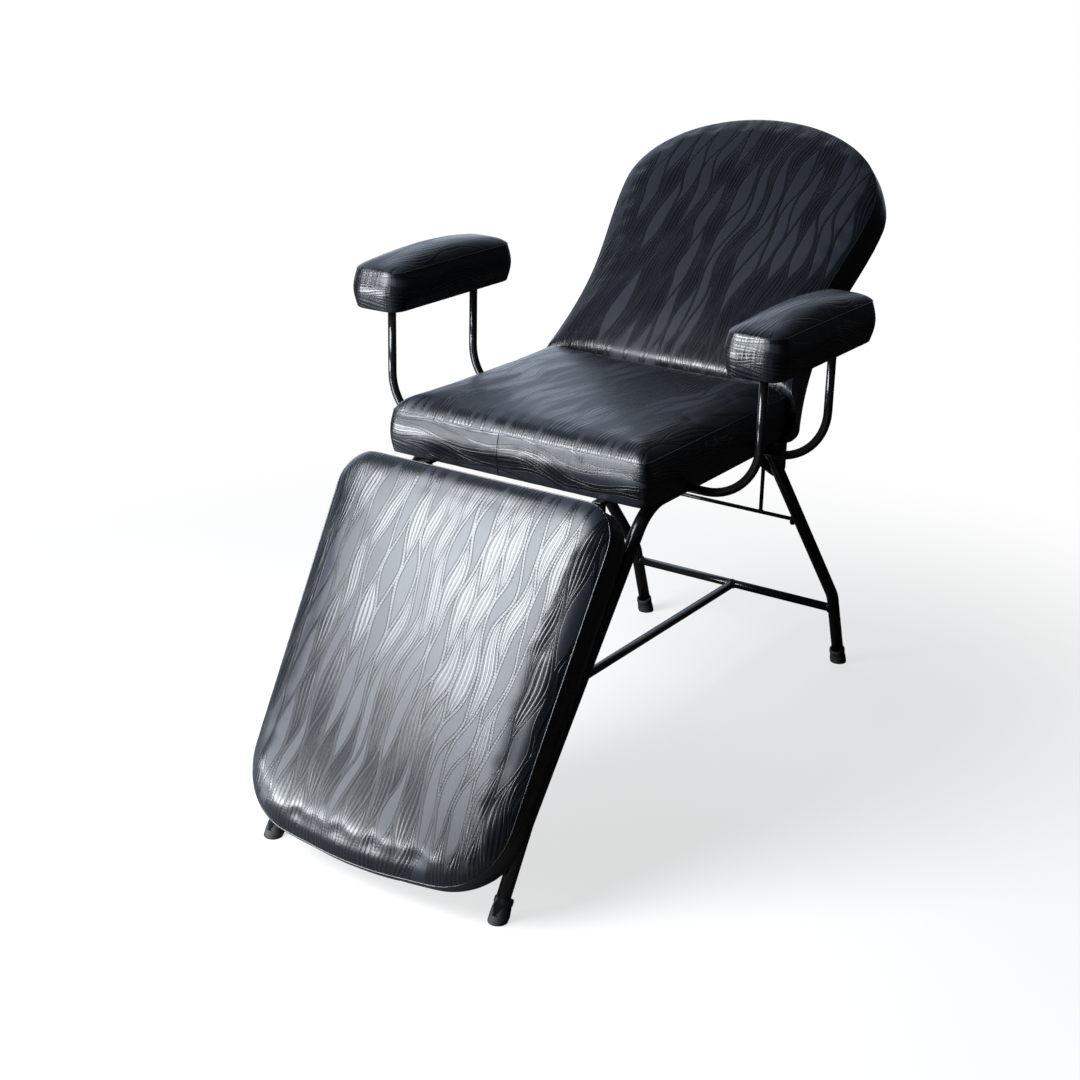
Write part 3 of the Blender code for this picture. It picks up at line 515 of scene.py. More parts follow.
def rounded_outline(corners, radii, steps=12):
    """A closed outline with round corners, and which of its points is the middle of each corner."""
    points = []
    middles = []
    corners = [Vector(c) for c in corners]
    for i, (corner, radius) in enumerate(zip(corners, radii)):
        centre, start, turn, _ = corner_arc(corners[i - 1], corner, corners[(i + 1) % len(corners)], radius)
        middles.append(len(points) + steps // 2)
        points.extend(centre + Matrix.Rotation(turn / steps * k, 2) @ start for k in range(steps + 1))
    return np.array(points), middles


def lengths_along(path):
    """How far along a path each of its points lies."""
    return np.concatenate(([0.0], np.cumsum(np.linalg.norm(np.diff(path, axis=0), axis=1))))


def run_between(outline, first, last, shares):
    """Points at shares of the way along an outline, from one of its points to a later one."""
    picked = (first + np.arange((last - first) % len(outline) + 1)) % len(outline)
    path = outline[picked]
    lengths = lengths_along(path)
    wanted = np.asarray(shares) * lengths[-1]
    return np.column_stack([np.interp(wanted, lengths, path[:, k]) for k in (0, 1)])


def shares_along(length, cell):
    inner = np.linspace(NARROW / length, 1 - NARROW / length, max(4, round(length / cell)) + 1)
    return np.concatenate(([0.0], inner, [1.0]))


def fill_outline(outline, corners, cell):
    """A grid of points that fills an outline, with its four corners on the four given points."""
    size = outline.max(0) - outline.min(0)
    u = shares_along(size[0], cell)
    v = shares_along(size[1], cell)
    low = run_between(outline, corners[0], corners[1], u)
    right = run_between(outline, corners[1], corners[2], v)
    high = run_between(outline, corners[2], corners[3], u)[::-1]
    left = run_between(outline, corners[3], corners[0], v)[::-1]
    a = u[None, :, None]
    b = v[:, None, None]
    flat = (1 - b) * low[None] + b * high[None] + (1 - a) * left[:, None] + a * right[:, None]
    flat -= (1 - a) * (1 - b) * low[0] + a * (1 - b) * low[-1] + (1 - a) * b * high[0] + a * b * high[-1]
    return flat


def rim_of(rows, columns):
    """Numbers of the grid's edge points, counter-clockwise from its first corner."""
    low = list(range(columns))
    right = [j * columns + columns - 1 for j in range(1, rows)]
    high = [(rows - 1) * columns + i for i in range(columns - 2, -1, -1)]
    left = [j * columns for j in range(rows - 2, 0, -1)]
    return low + right + high + left


def dome(part):
    """Rises from 0 to 1 like the edge of a cushion: steep at the seam, level at the end."""
    return 1 - (1 - np.clip(part, 0, 1)) ** 2


def distance_to(points, ring):
    """Distance of each point from a closed ring of points."""
    nearest = np.full(len(points), np.inf)
    for start, step in zip(ring, np.roll(ring, -1, axis=0) - ring):
        part = np.clip((points - start) @ step / (step @ step), 0, 1)
        gap = np.linalg.norm(points - start - part[:, None] * step, axis=1)
        nearest = np.minimum(nearest, gap)
    return nearest


print("cover helpers ready, with rows of", NARROW, "m beside a seam")

# %% [markdown]
# ## Shaping a cover
# The top panel is lifted to its crown and its edge is rolled. The side panel is a stack of rings that runs
# down, let out a little in the middle, round the edge of the board, inwards as the hem, and back up between
# cover and board.

# %% Building one cover
SLACK = 0.0004
SIDE_FOOT = 0.003
HEM_DROP = 0.0016
HEM_FOLD = 0.0003
HEM_TURN = [(0.0012, -HEM_DROP * 0.6), (0.005, -HEM_DROP)]
LINING_INSET = BOARD_INSET - 0.0008
SIDE_HOLD = 0.3
SEAM_HOLD = 0.9


class Cover:
    """A boxed cover in the flat frame of its board, which starts at a low height."""

    def __init__(
        self, outline, corners, cell, seam, low, board, crown, run, roll, draw, hem, edge_run=0.020,
    ):
        self.low = low
        self.hem = hem
        grid = fill_outline(outline, corners, cell)
        self.rows, self.columns = grid.shape[:2]
        top = grid.reshape(-1, 2)
        self.top_count = len(top)
        self.rim = rim_of(self.rows, self.columns)
        self.edge = top[self.rim]
        ahead = np.roll(self.edge, -1, axis=0) - np.roll(self.edge, 1, axis=0)
        ahead /= np.linalg.norm(ahead, axis=1)[:, None]
        self.inwards = np.column_stack((-ahead[:, 1], ahead[:, 0]))
        inside = distance_to(top, self.edge)
        rise = crown * dome(inside / run) + roll * dome(inside / edge_run)
        self.profile = self.side_profile(seam, low + board, draw, cell)
        layers = [np.column_stack((top, seam + rise))]
        for inset, z in self.profile:
            layers.append(np.column_stack((self.edge + self.inwards * inset, np.full(len(self.edge), z))))
        self.start = np.vstack(layers)
        self.boxed = sum(1 for _, z in self.profile if z > low)
        self.girth = lengths_along(np.vstack((self.edge, self.edge[:1])))
        self.drop = lengths_along(np.array([(0.0, seam)] + self.profile))

    def side_profile(self, seam, high, draw, cell):
        """Inset and height of each ring from the seam down and round under the board."""
        foot = self.low + SIDE_FOOT
        top = seam - NARROW
        count = max(4, round((top - foot) / cell))
        profile = []
        for k in range(count + 1):
            part = k / count
            profile.append((SLACK + draw * math.sin(math.pi * part), top + (foot - top) * part))
        profile.extend((inset, self.low + rise) for inset, rise in HEM_TURN)
        profile.append((self.hem, self.low - HEM_DROP))
        profile.append((self.hem + 2 * HEM_FOLD, self.low + HEM_FOLD))
        profile.append((LINING_INSET, self.low + HEM_FOLD))
        profile.append((LINING_INSET, high + SLACK))
        return profile

    def ring(self, number):
        """Point numbers of a ring. Ring 0 is the seam."""
        if number == 0:
            return self.rim
        first = self.top_count + (number - 1) * len(self.rim)
        return list(range(first, first + len(self.rim)))

    def faces(self):
        made = []
        for j in range(self.rows - 1):
            for i in range(self.columns - 1):
                here = j * self.columns + i
                made.append((here, here + 1, here + self.columns + 1, here + self.columns))
        count = len(self.rim)
        rings = [self.ring(n) for n in range(len(self.profile) + 1)]
        for above, below in zip(rings, rings[1:]):
            for k in range(count):
                j = (k + 1) % count
                made.append((below[k], below[j], above[j], above[k]))
        return made

    def maps(self):
        """Cutting pattern of every face corner: its place on the cloth, then across and along its folds."""
        cells = (self.rows - 1) * (self.columns - 1)
        cover = []
        pull = []
        for face in self.faces()[:cells]:
            flat = [tuple(self.start[i][:2]) for i in face]
            cover.extend(flat)
            pull.extend(flat)
        for n in range(len(self.profile)):
            for k in range(len(self.rim)):
                for ring, step in ((n + 1, k), (n + 1, k + 1), (n, k + 1), (n, k)):
                    cover.append((self.drop[ring], self.girth[step]))
                    pull.append((self.girth[step], self.drop[ring]))
        return cover, pull

    def hold(self):
        """How firmly the stuffing holds each point: the hem fully, the seam mostly, the panels hardly."""
        firm = np.zeros(len(self.start))
        for n in range(1, len(self.profile) + 1):
            firm[self.ring(n)] = SIDE_HOLD if n < self.boxed else 1.0
        firm[self.rim] = SEAM_HOLD
        return firm


print("a hem lies", HEM_DROP, "m under its board")

# %% [markdown]
# ## Stuffing a cover
# The cover is puffed with a cloth simulation that keeps the hem and most of the seam in place. A limit
# keeps each point near its pattern. Then the seam is pulled in, one subdivision smooths the skin, and a
# thin cord becomes the welt along the seam.

# %% Puffing and sewing a cover
AIR_PRESSURE = 4.0
LAST_FRAME = 20
CLOTH = {
    "quality": 6,
    "mass": 0.25,
    "tension_stiffness": 20,
    "compression_stiffness": 20,
    "shear_stiffness": 8,
    "bending_stiffness": 4.0,
    "use_pressure": True,
    "uniform_pressure_force": AIR_PRESSURE,
    "vertex_group_mass": "held",
    "pin_stiffness": 1.0,
    "shrink_min": -0.003,
}
SEAM_SINK = 0.0016
WELT_RADIUS = 0.0013


def read_points(mesh, what="co"):
    flat = np.empty(len(mesh.vertices) * 3)
    mesh.vertices.foreach_get(what, flat)
    return flat.reshape(-1, 3)


def write_points(mesh, points):
    mesh.vertices.foreach_set("co", np.asarray(points, float).ravel())
    mesh.update()


def puff(piece, firm, limit):
    """Fills a cover with air and keeps every point within a limit of where it began."""
    group = piece.vertex_groups.new(name="held")
    for weight in np.unique(firm):
        group.add([int(i) for i in np.flatnonzero(firm == weight)], float(weight), "REPLACE")
    cloth = piece.modifiers.new("air", "CLOTH")
    for name, value in CLOTH.items():
        setattr(cloth.settings, name, value)
    cloth.settings.effector_weights.gravity = 0
    cloth.point_cache.frame_start = 1
    cloth.point_cache.frame_end = LAST_FRAME
    for number in range(1, LAST_FRAME + 1):
        scene.frame_set(number)
    shown = piece.evaluated_get(bpy.context.evaluated_depsgraph_get())
    puffed = read_points(shown.data)
    piece.modifiers.remove(cloth)
    piece.vertex_groups.remove(group)
    scene.frame_set(1)
    begun = read_points(piece.data)
    move = puffed - begun
    reach = np.linalg.norm(move, axis=1)
    move *= np.minimum(1.0, limit / np.maximum(reach, 1e-9))[:, None]
    write_points(piece.data, begun + move)
    kept = round(float(np.max(limit)) * 1000, 1)
    print(piece.name, "puffed by up to", round(float(reach.max()) * 1000, 1), "mm, kept to", kept)


def growing_limit(distance, least, most, run=0.08):
    """How far points may move: least beside a place, and most at a run away from it."""
    return least + (most - least) * np.clip(distance / run, 0, 1)


def fading(distance, run):
    """1 at no distance, and less and less further away."""
    return np.exp(-np.maximum(distance, 0) / run)


def close_base(mesh):
    """Fills the open edge above the board with one face, so that the cover holds a volume."""
    shell = bmesh.new()
    shell.from_mesh(mesh)
    bmesh.ops.holes_fill(shell, edges=[edge for edge in shell.edges if edge.is_boundary], sides=0)
    shell.to_mesh(mesh)
    shell.free()


def sew_cover(name, cover, body, stands_for, matrix, gather, limit, shape):
    """Turns a cut cover into a stuffed piece with its maps, its seam pulled in and a smooth skin."""
    mesh = bpy.data.meshes.new(name)
    mesh.from_pydata(shape(cover.start).tolist(), [], cover.faces())
    for map_name, values in zip(("Cover", "Pull"), cover.maps()):
        mesh.uv_layers.new(name=map_name).data.foreach_set("uv", np.asarray(values).ravel())
    folds = mesh.attributes.new("gather", "FLOAT", "POINT")
    folds.data.foreach_set("value", gather(cover.start))
    mesh.materials.append(VINYL)
    mesh.shade_smooth()
    piece = bpy.data.objects.new(name, mesh)
    scene.collection.objects.link(piece)
    puff(piece, cover.hold(), limit)
    points = read_points(mesh)
    normals = read_points(mesh, "normal")
    points[cover.rim] -= normals[cover.rim] * SEAM_SINK
    write_points(mesh, points)
    mesh.transform(matrix)
    smooth = piece.modifiers.new("smooth", "SUBSURF")
    smooth.levels = 1
    smooth.render_levels = 1
    shown = piece.evaluated_get(bpy.context.evaluated_depsgraph_get())
    piece.data = bpy.data.meshes.new_from_object(shown)
    piece.modifiers.clear()
    bpy.data.meshes.remove(mesh)
    piece.data.name = name
    close_base(piece.data)
    print(name, "points:", len(piece.data.vertices))
    return tie(piece, body, stands_for)


def cord(name, piece, numbers, body, up, radius=WELT_RADIUS, closed=True):
    """A thin cord of cover through numbered points of a finished cover, such as the welt on its seam."""
    path = [piece.data.vertices[i].co.copy() for i in numbers]
    shape = Shape().add(*tube(path, radius, up, 8, closed))
    made = make_piece(name, shape, "vinyl", body, Matrix.Identity(4))
    for map_name in ("Cover", "Pull"):
        made.data.uv_layers.new(name=map_name).data.foreach_set("uv", np.zeros(len(made.data.loops) * 2))


print("pressure", AIR_PRESSURE, "over", LAST_FRAME, "frames")

# %% [markdown]
# ## Seat
# The seat is a firm square cushion with a rolled top edge above its seam. Its side panel is let out a
# little, except at the rear, which stays flat for the back. The front edge shows small gathers where the
# cover is pulled round the foam, and the front panel has an upright seam.

# %% Sewing the seat
FORWARD = -SEAT_DEPTH / 2
SEAT_CORNER = 0.014
SEAT_ROLL_DROP = 0.013
REAR_ROOM = 0.001
FRONT_SEAM_RADIUS = 0.0009
FRONT_SEAM_OFFSET = 3
seat_cut = Cover(
    *rounded_outline(rectangle(0, 0, SEAT_WIDTH, SEAT_DEPTH), [SEAT_CORNER] * 4),
    cell=0.010, seam=SEAT_HEIGHT - SEAT_ROLL_DROP, low=SEAT_BOTTOM, board=SEAT_BOARD,
    crown=0.006, run=0.18, roll=0.022, draw=-0.006, hem=0.019, edge_run=0.030,
)


def seat_gather(points):
    return fading(points[:, 1] - FORWARD, 0.012) * 0.12


def flatten_rear(points):
    """Keeps the rear of the seat flat, because the back comes down behind it."""
    flat = points.copy()
    flat[:, 1] = np.minimum(points[:, 1], -FORWARD + REAR_ROOM)
    return flat


seat_limit = growing_limit(-FORWARD - np.abs(seat_cut.start[:, 1]), 0.001, 0.004)
seat_cover = sew_cover(
    "seat_cover", seat_cut, "frame", ["seat_cushion"], IN_SEAT, seat_gather, seat_limit, flatten_rear,
)
cord("seat_welt", seat_cover, seat_cut.rim, "frame", (0, 0, 1))
seam_column = seat_cut.columns // 2 - FRONT_SEAM_OFFSET
front_seam = [seat_cut.ring(n)[seam_column] for n in range(seat_cut.boxed + 1)]
cord("seat_front_seam", seat_cover, front_seam, "frame", (1, 0, 0), FRONT_SEAM_RADIUS, False)

# %% [markdown]
# ## Back
# The back has a waist, wide shoulders and a round top. Its face rolls into the gap behind the seat, so the
# cover is pressed there against an upright plane, with fine gathers over the roll.

# %% Sewing the back
WAIST_HALF = 0.255
SHOULDER_HALF = 0.281
WAIST_AT = 0.165
SHOULDER_AT = 0.42
TAIL_FLARE = 0.042
TAIL_CORNER = 0.03
TAIL = 0.004 - BACK_THICKNESS
ROLL = 0.0018
LEAST_ROLL = 0.06
PRESS_ROOM = 0.0015
BACK_LOW = BACK_FACE - BACK_THICKNESS


def back_half_width(along):
    if along > SHOULDER_AT:
        rise = min(1.0, (along - SHOULDER_AT) / (BACK_LENGTH - SHOULDER_AT))
        return SHOULDER_HALF * math.sqrt(1 - rise ** 2)
    if along > WAIST_AT:
        part = (along - WAIST_AT) / (SHOULDER_AT - WAIST_AT)
        return WAIST_HALF + (SHOULDER_HALF - WAIST_HALF) * part * part * (3 - 2 * part)
    return WAIST_HALF + TAIL_FLARE * ((along - WAIST_AT) / (TAIL - WAIST_AT)) ** 2


def back_outline(steps=24):
    """Outline of the back from the right tail corner round by the left side, and its four corner points."""
    low = TAIL + TAIL_CORNER
    middle = Vector((back_half_width(low) - TAIL_CORNER, low))
    side = []
    for k in range(steps // 2 + 1):
        turn = math.pi / 2 * k / (steps // 2)
        side.append(middle + Vector((math.sin(turn), -math.cos(turn))) * TAIL_CORNER)
    for k in range(1, steps + 1):
        along = low + (SHOULDER_AT - low) * k / steps
        side.append(Vector((back_half_width(along), along)))
    for k in range(1, steps):
        turn = math.pi / 2 * k / steps
        along = SHOULDER_AT + (BACK_LENGTH - SHOULDER_AT) * math.sin(turn)
        side.append(Vector((SHOULDER_HALF * math.cos(turn), along)))
    points = side + [Vector((0, BACK_LENGTH))] + [Vector((-p.x, p.y)) for p in reversed(side)]
    tail_left = steps // 4
    top_left = len(side) - steps // 2
    last = len(points) - 1
    moved = np.array([p + Vector((0, BACK_START)) for p in points])
    return moved, [last - tail_left, tail_left, top_left, last - top_left]


def press_on_seat(points):
    """Presses what would enter the seat onto an upright plane just behind it, with a soft roll."""
    towards_seat = np.array((0, -math.cos(BACK_RECLINE), math.sin(BACK_RECLINE)))
    past = (points - np.array((0, BACK_START, BACK_FACE))) @ towards_seat
    height = (points[:, 2] - BACK_LOW - THIN_BOARD) / (BACK_THICKNESS - THIN_BOARD)
    roll = ROLL * np.clip(height, LEAST_ROLL, 1)
    kept = 0.5 * (past + PRESS_ROOM - np.sqrt((past - PRESS_ROOM) ** 2 + 4 * roll ** 2))
    return points + (kept - past)[:, None] * towards_seat


def back_gather(points):
    return np.exp(-((points[:, 1] - BACK_START - 0.012) / 0.030) ** 2) * 0.38


back_cut = Cover(
    *back_outline(), cell=0.0085, seam=BACK_FACE, low=BACK_LOW, board=THIN_BOARD,
    crown=0.008, run=0.18, roll=0.006, draw=-0.003, hem=0.022,
)
from_bend = np.abs(back_cut.start[:, 1] - BACK_START - 0.02) - 0.03
back_limit = growing_limit(from_bend, 0.0002, 0.002, run=0.06)
back_cover = sew_cover(
    "back_cover", back_cut, "backrest", ["back_cushion"], IN_BACK, back_gather, back_limit, press_on_seat,
)
cord("back_welt", back_cover, back_cut.rim, "backrest", IN_BACK.to_3x3() @ Vector((0, 0, 1)))

# %% [markdown]
# ## Leg rest
# The leg rest narrows a little towards a bowed foot end with large round corners. Its top edge is rolled
# like that of the seat, and its head end leans forward, so that the gap to the seat closes when it is lifted
# level. It is the fullest of the cushions and shows the studio light best.

# %% Sewing the leg rest
LEG_HEAD = -0.002
LEG_FAR = LEG_HEAD - LEG_LENGTH
LEG_HEEL = LEG_FAR + 0.028
LEG_FOOT_HALF = 0.27
LEG_HEAD_HALF = 0.286
LEG_FOOT_CORNER = 0.13
LEG_BOW = 0.8
LEG_HEAD_CORNER = 0.06
LEG_LOW = LEG_TOP - LEG_THICKNESS
LEG_ROLL_DROP = 0.009
HEAD_LEAN = 0.013
LEAN_RUN = 0.05
LEAN_FROM = 0.55
leg_outline, leg_corners = rounded_outline(
    [
        (-LEG_FOOT_HALF, LEG_HEEL), (0, LEG_FAR), (LEG_FOOT_HALF, LEG_HEEL),
        (LEG_HEAD_HALF, LEG_HEAD), (-LEG_HEAD_HALF, LEG_HEAD),
    ],
    [LEG_FOOT_CORNER, LEG_BOW, LEG_FOOT_CORNER, LEG_HEAD_CORNER, LEG_HEAD_CORNER],
)
leg_cut = Cover(
    leg_outline, [leg_corners[i] for i in (0, 2, 3, 4)],
    cell=0.011, seam=LEG_TOP - LEG_ROLL_DROP, low=LEG_LOW, board=THIN_BOARD,
    crown=0.010, run=0.20, roll=0.016, draw=-0.004, hem=0.022, edge_run=0.026,
)


def leg_gather(points):
    along = points[:, 1]
    return fading(LEG_HEAD - along, 0.015) * 0.15 + fading(along - LEG_FAR, 0.02) * 0.05


def lean_head(points):
    """Flattens the head end and leans its top edge forward, over the rolled edge of the level seat."""
    leant = points.copy()
    near = np.clip((points[:, 1] - LEG_HEAD) / LEAN_RUN + 1, 0, 1) ** 2
    height = (points[:, 2] - LEG_LOW) / LEG_THICKNESS
    upper = np.clip((height - LEAN_FROM) / (1 - LEAN_FROM), 0, 1) ** 1.5
    leant[:, 1] = np.minimum(points[:, 1], LEG_HEAD) + HEAD_LEAN * near * upper
    return leant


leg_limit = growing_limit(LEG_HEAD - leg_cut.start[:, 1], 0.0004, 0.003)
leg_cover = sew_cover(
    "leg_cover", leg_cut, "leg_rest", ["leg_cushion"], IN_LEG, leg_gather, leg_limit, lean_head,
)
cord("leg_welt", leg_cover, leg_cut.rim, "leg_rest", IN_LEG.to_3x3() @ Vector((0, 0, 1)))

# %% [markdown]
# ## Arm pads
# The pads are soft, so their sides bulge. Their covers are pleated round both ends.

# %% Sewing the arm pads
ARM_CORNER = 0.030
ARM_ARCH = 0.45
ARM_LIMIT = 0.006
ARM_WELT_RADIUS = 0.0010


def arch_along_arm(points):
    """Makes the top panel fuller in the middle of the arm than at its ends."""
    along = (points[:, 1] - ARM_Y) / (ARM_LENGTH / 2)
    rise = np.maximum(points[:, 2] - ARM_BOTTOM - ARM_THICKNESS, 0)
    arched = points.copy()
    arched[:, 2] += rise * (ARM_ARCH - along ** 2)
    return arched


def arm_gather(points):
    return fading(ARM_LENGTH / 2 - np.abs(points[:, 1] - ARM_Y), 0.016) * 0.35


for side, sign in SIDES.items():
    arm_cut = Cover(
        *rounded_outline(rectangle(sign * ARM_X, ARM_Y, ARM_WIDTH, ARM_LENGTH), [ARM_CORNER] * 4),
        cell=0.009, seam=ARM_BOTTOM + ARM_THICKNESS, low=ARM_BOTTOM, board=THIN_BOARD,
        crown=0.009, run=ARM_WIDTH / 2, roll=0.009, draw=-0.007, hem=0.015,
    )
    pad = sew_cover(
        f"arm_cover_{side}", arm_cut, "frame", [f"arm_pad_{side}"], IN_SEAT,
        arm_gather, ARM_LIMIT, arch_along_arm,
    )
    cord(f"arm_welt_{side}", pad, arm_cut.rim, "frame", (0, 0, 1), ARM_WELT_RADIUS)

# %% [markdown]
# ## Bent tubes
# The frame is bent from round steel tube. Each tube is swept along the path of its CAD piece with more
# sides and finer bends. Ends that are welded run into the tube that they join.

# %% Legs, bars, arm posts and prop
LEG_RADIUS = 0.0125
BAR_RADIUS = 0.009
ARM_RADIUS = 0.008
ROD_RADIUS = 0.004
TOP_BAR_RADIUS = 0.005
WIDE_BEND = 0.10
FOOT_BEND = 0.08
UNDER_SEAT = SEAT_BOTTOM - 0.0003
RAIL_X = 0.2435
RAIL_Z = joint_place["back_recline"].z
RAIL_END = 0.2585
FRONT_TOP_Y = -0.2045
FRONT_BEND = (-0.559, 0.146)
FRONT_FOOT_Y = -0.638
FRONT_END_Y = FRONT_FOOT_Y - 0.001
REAR_TOP_Y = 0.237
REAR_BEND = (0.597, 0.174)
REAR_FOOT_Y = 0.6546
LEG_END_Z = 0.009
BAR_Z = 0.140
SEAT_TUBE_Z = UNDER_SEAT - BAR_RADIUS
SEAT_TUBES = {"front": -0.125, "rear": 0.130}
ARM_RUN_Z = UNDER_SEAT - ARM_RADIUS
ARM_MIDDLE = ARM_Y - 0.003
ARM_POSTS = {"front": ARM_MIDDLE - 0.132, "rear": ARM_MIDDLE + 0.132}
ARM_POST_TOP = ARM_BOTTOM - 0.0046
PROP_HEIGHT = 0.3294
PROP_UPRIGHT_X = 0.155
PROP_ROD_HALF = 0.2307
PROP_BAR_HALF = 0.185


def bar_place(bend, foot_y):
    """Where the lower part of a leg reaches the height of the cross bars."""
    return bend[0] + (foot_y - bend[0]) * (bend[1] - BAR_Z) / bend[1]


def add_tube(name, path, radius, up, body="frame", matrix=IN_SEAT, sides=28):
    shape = Shape().add(*tube(path, radius, up, sides))
    make_piece(f"{name}_tube", shape, "paint", body, matrix, [name])


def add_cross_tube(name, y, z):
    add_tube(name, [(-RAIL_X, y, z), (RAIL_X, y, z)], BAR_RADIUS, (0, 0, 1))


FRONT_BAR_Y = bar_place(FRONT_BEND, FRONT_FOOT_Y)
REAR_BAR_Y = bar_place(REAR_BEND, REAR_FOOT_Y)
for side, sign in SIDES.items():
    x = sign * RAIL_X
    arm_x = sign * ARM_X
    front = [(x, RAIL_END, RAIL_Z), (x, FRONT_TOP_Y, RAIL_Z), (x, *FRONT_BEND), (x, FRONT_END_Y, LEG_END_Z)]
    add_tube(f"front_leg_and_rail_{side}", bent_path(front, [WIDE_BEND, FOOT_BEND]), LEG_RADIUS, (1, 0, 0))
    rear = [(x, REAR_TOP_Y, RAIL_Z), (x, *REAR_BEND), (x, REAR_FOOT_Y, LEG_END_Z)]
    add_tube(f"rear_leg_{side}", bent_path(rear, [FOOT_BEND]), LEG_RADIUS, (1, 0, 0))
    for end, y in ARM_POSTS.items():
        post = [(arm_x, y, ARM_POST_TOP), (arm_x, y, ARM_RUN_Z), (x, y, ARM_RUN_Z)]
        add_tube(f"arm_post_{end}_{side}", bent_path(post, [WIDE_BEND]), ARM_RADIUS, (0, 1, 0))
    upright = [(sign * PROP_UPRIGHT_X, 0, 0), (sign * PROP_UPRIGHT_X, 0, PROP_HEIGHT)]
    add_tube(f"prop_upright_{side}", upright, ROD_RADIUS, (1, 0, 0), "back_prop", IN_PROP, 16)

add_cross_tube("front_cross_bar", FRONT_BAR_Y, BAR_Z)
add_cross_tube("rear_cross_bar", REAR_BAR_Y, BAR_Z)
add_tube("centre_stretcher", [(0, FRONT_BAR_Y, BAR_Z), (0, REAR_BAR_Y, BAR_Z)], BAR_RADIUS, (1, 0, 0))
for end, y in SEAT_TUBES.items():
    add_cross_tube(f"seat_{end}_tube", y, SEAT_TUBE_Z)
foot_rod = [(-PROP_ROD_HALF, 0, 0), (PROP_ROD_HALF, 0, 0)]
top_bar = [(-PROP_BAR_HALF, 0, PROP_HEIGHT), (PROP_BAR_HALF, 0, PROP_HEIGHT)]
add_tube("prop_foot_rod", foot_rod, ROD_RADIUS, (0, 0, 1), "back_prop", IN_PROP, 16)
add_tube("prop_top_bar", top_bar, TOP_BAR_RADIUS, (0, 0, 1), "back_prop", IN_PROP, 20)
print("cross bars at y =", round(FRONT_BAR_Y, 4), "and", round(REAR_BAR_Y, 4))

# %% [markdown]
# ## Weld beads
# Where one tube meets another, a welder lays a wavy bead round the joint. Each bead follows the curve in
# which the two tubes meet, which is found by sliding the end circle along its tube until it touches.

# %% Welds
BEAD_STEPS = 60
BEAD_WAVES = 13
BEAD_RIPPLE = 0.16
BEAD = 0.0021
LEG_BEAD = 0.0024
POST_BEAD = 0.0018
ROD_BEAD = 0.0013


def weld_path(centre, away, radius, joined_point, joined_axis, joined_radius):
    """The closed curve where a tube that goes away from a centre meets the side of a second tube."""
    away = Vector(away).normalized()
    joined_axis = Vector(joined_axis).normalized()
    side = away.orthogonal().normalized()
    other = away.cross(side)
    slope = away - joined_axis * away.dot(joined_axis)
    path = []
    for c, s in circle(BEAD_STEPS):
        point = Vector(centre) + (side * c + other * s) * radius
        offset = point - Vector(joined_point)
        offset -= joined_axis * offset.dot(joined_axis)
        half = offset.dot(slope) / slope.length_squared
        rest = (offset.length_squared - joined_radius ** 2) / slope.length_squared
        path.append(point + away * (math.sqrt(max(half * half - rest, 0.0)) - half))
    return path


def bead(shape, path, up, size=BEAD):
    waves = [math.sin(BEAD_WAVES * FULL_TURN * k / len(path)) for k in range(len(path))]
    shape.add(*tube(path, [size * (1 + BEAD_RIPPLE * wave) for wave in waves], up, 8, closed=True))


welds = Shape()
front_lean = (0, FRONT_BEND[0] - FRONT_FOOT_Y, FRONT_BEND[1])
rear_lean = (0, REAR_BEND[0] - REAR_FOOT_Y, REAR_BEND[1])
rear_down = (0, REAR_BEND[0] - REAR_TOP_Y, REAR_BEND[1] - RAIL_Z)
for sign in SIDES.values():
    x = sign * RAIL_X
    inwards = (-sign, 0, 0)
    outwards = (sign, 0, 0)
    for y, lean in ((FRONT_BAR_Y, front_lean), (REAR_BAR_Y, rear_lean)):
        point = (x, y, BAR_Z)
        bead(welds, weld_path(point, inwards, BAR_RADIUS, point, lean, LEG_RADIUS), inwards)
    for y in SEAT_TUBES.values():
        joint = weld_path((x, y, SEAT_TUBE_Z), inwards, BAR_RADIUS, (x, y, RAIL_Z), (0, 1, 0), LEG_RADIUS)
        bead(welds, joint, inwards)
    for y in ARM_POSTS.values():
        joint = weld_path((x, y, ARM_RUN_Z), outwards, ARM_RADIUS, (x, y, RAIL_Z), (0, 1, 0), LEG_RADIUS)
        bead(welds, joint, outwards)
        middle = Vector((sign * ARM_X, y, ARM_POST_TOP))
        top = [middle + Vector((c, s, 0)) * ARM_RADIUS for c, s in circle(BEAD_STEPS)]
        bead(welds, top, (0, 0, 1), POST_BEAD)
    point = (x, REAR_TOP_Y, RAIL_Z)
    bead(welds, weld_path(point, rear_down, LEG_RADIUS, point, (0, 1, 0), LEG_RADIUS), rear_down, LEG_BEAD)
for y, way in ((FRONT_BAR_Y, 1), (REAR_BAR_Y, -1)):
    point = (0, y, BAR_Z)
    bead(welds, weld_path(point, (0, way, 0), BAR_RADIUS, point, (1, 0, 0), BAR_RADIUS), (0, way, 0))
make_piece("frame_welds", welds, "paint", "frame")

prop_welds = Shape()
for sign in SIDES.values():
    for z, way, joined in ((0, 1, ROD_RADIUS), (PROP_HEIGHT, -1, TOP_BAR_RADIUS)):
        point = (sign * PROP_UPRIGHT_X, 0, z)
        joint = weld_path(point, (0, 0, way), ROD_RADIUS, point, (1, 0, 0), joined)
        bead(prop_welds, joint, (0, 0, 1), ROD_BEAD)
make_piece("prop_welds", prop_welds, "paint", "back_prop", IN_PROP)
print("weld points:", len(welds.points) + len(prop_welds.points))

# %% [markdown]
# ## Rubber feet
# Each foot is a moulded cup: a flat sole with a soft edge, a flared skirt, a groove and a collar that
# grips the leg. The sole lies level while the cup leans with the leg. Each ring of it has a height and a
# radius.

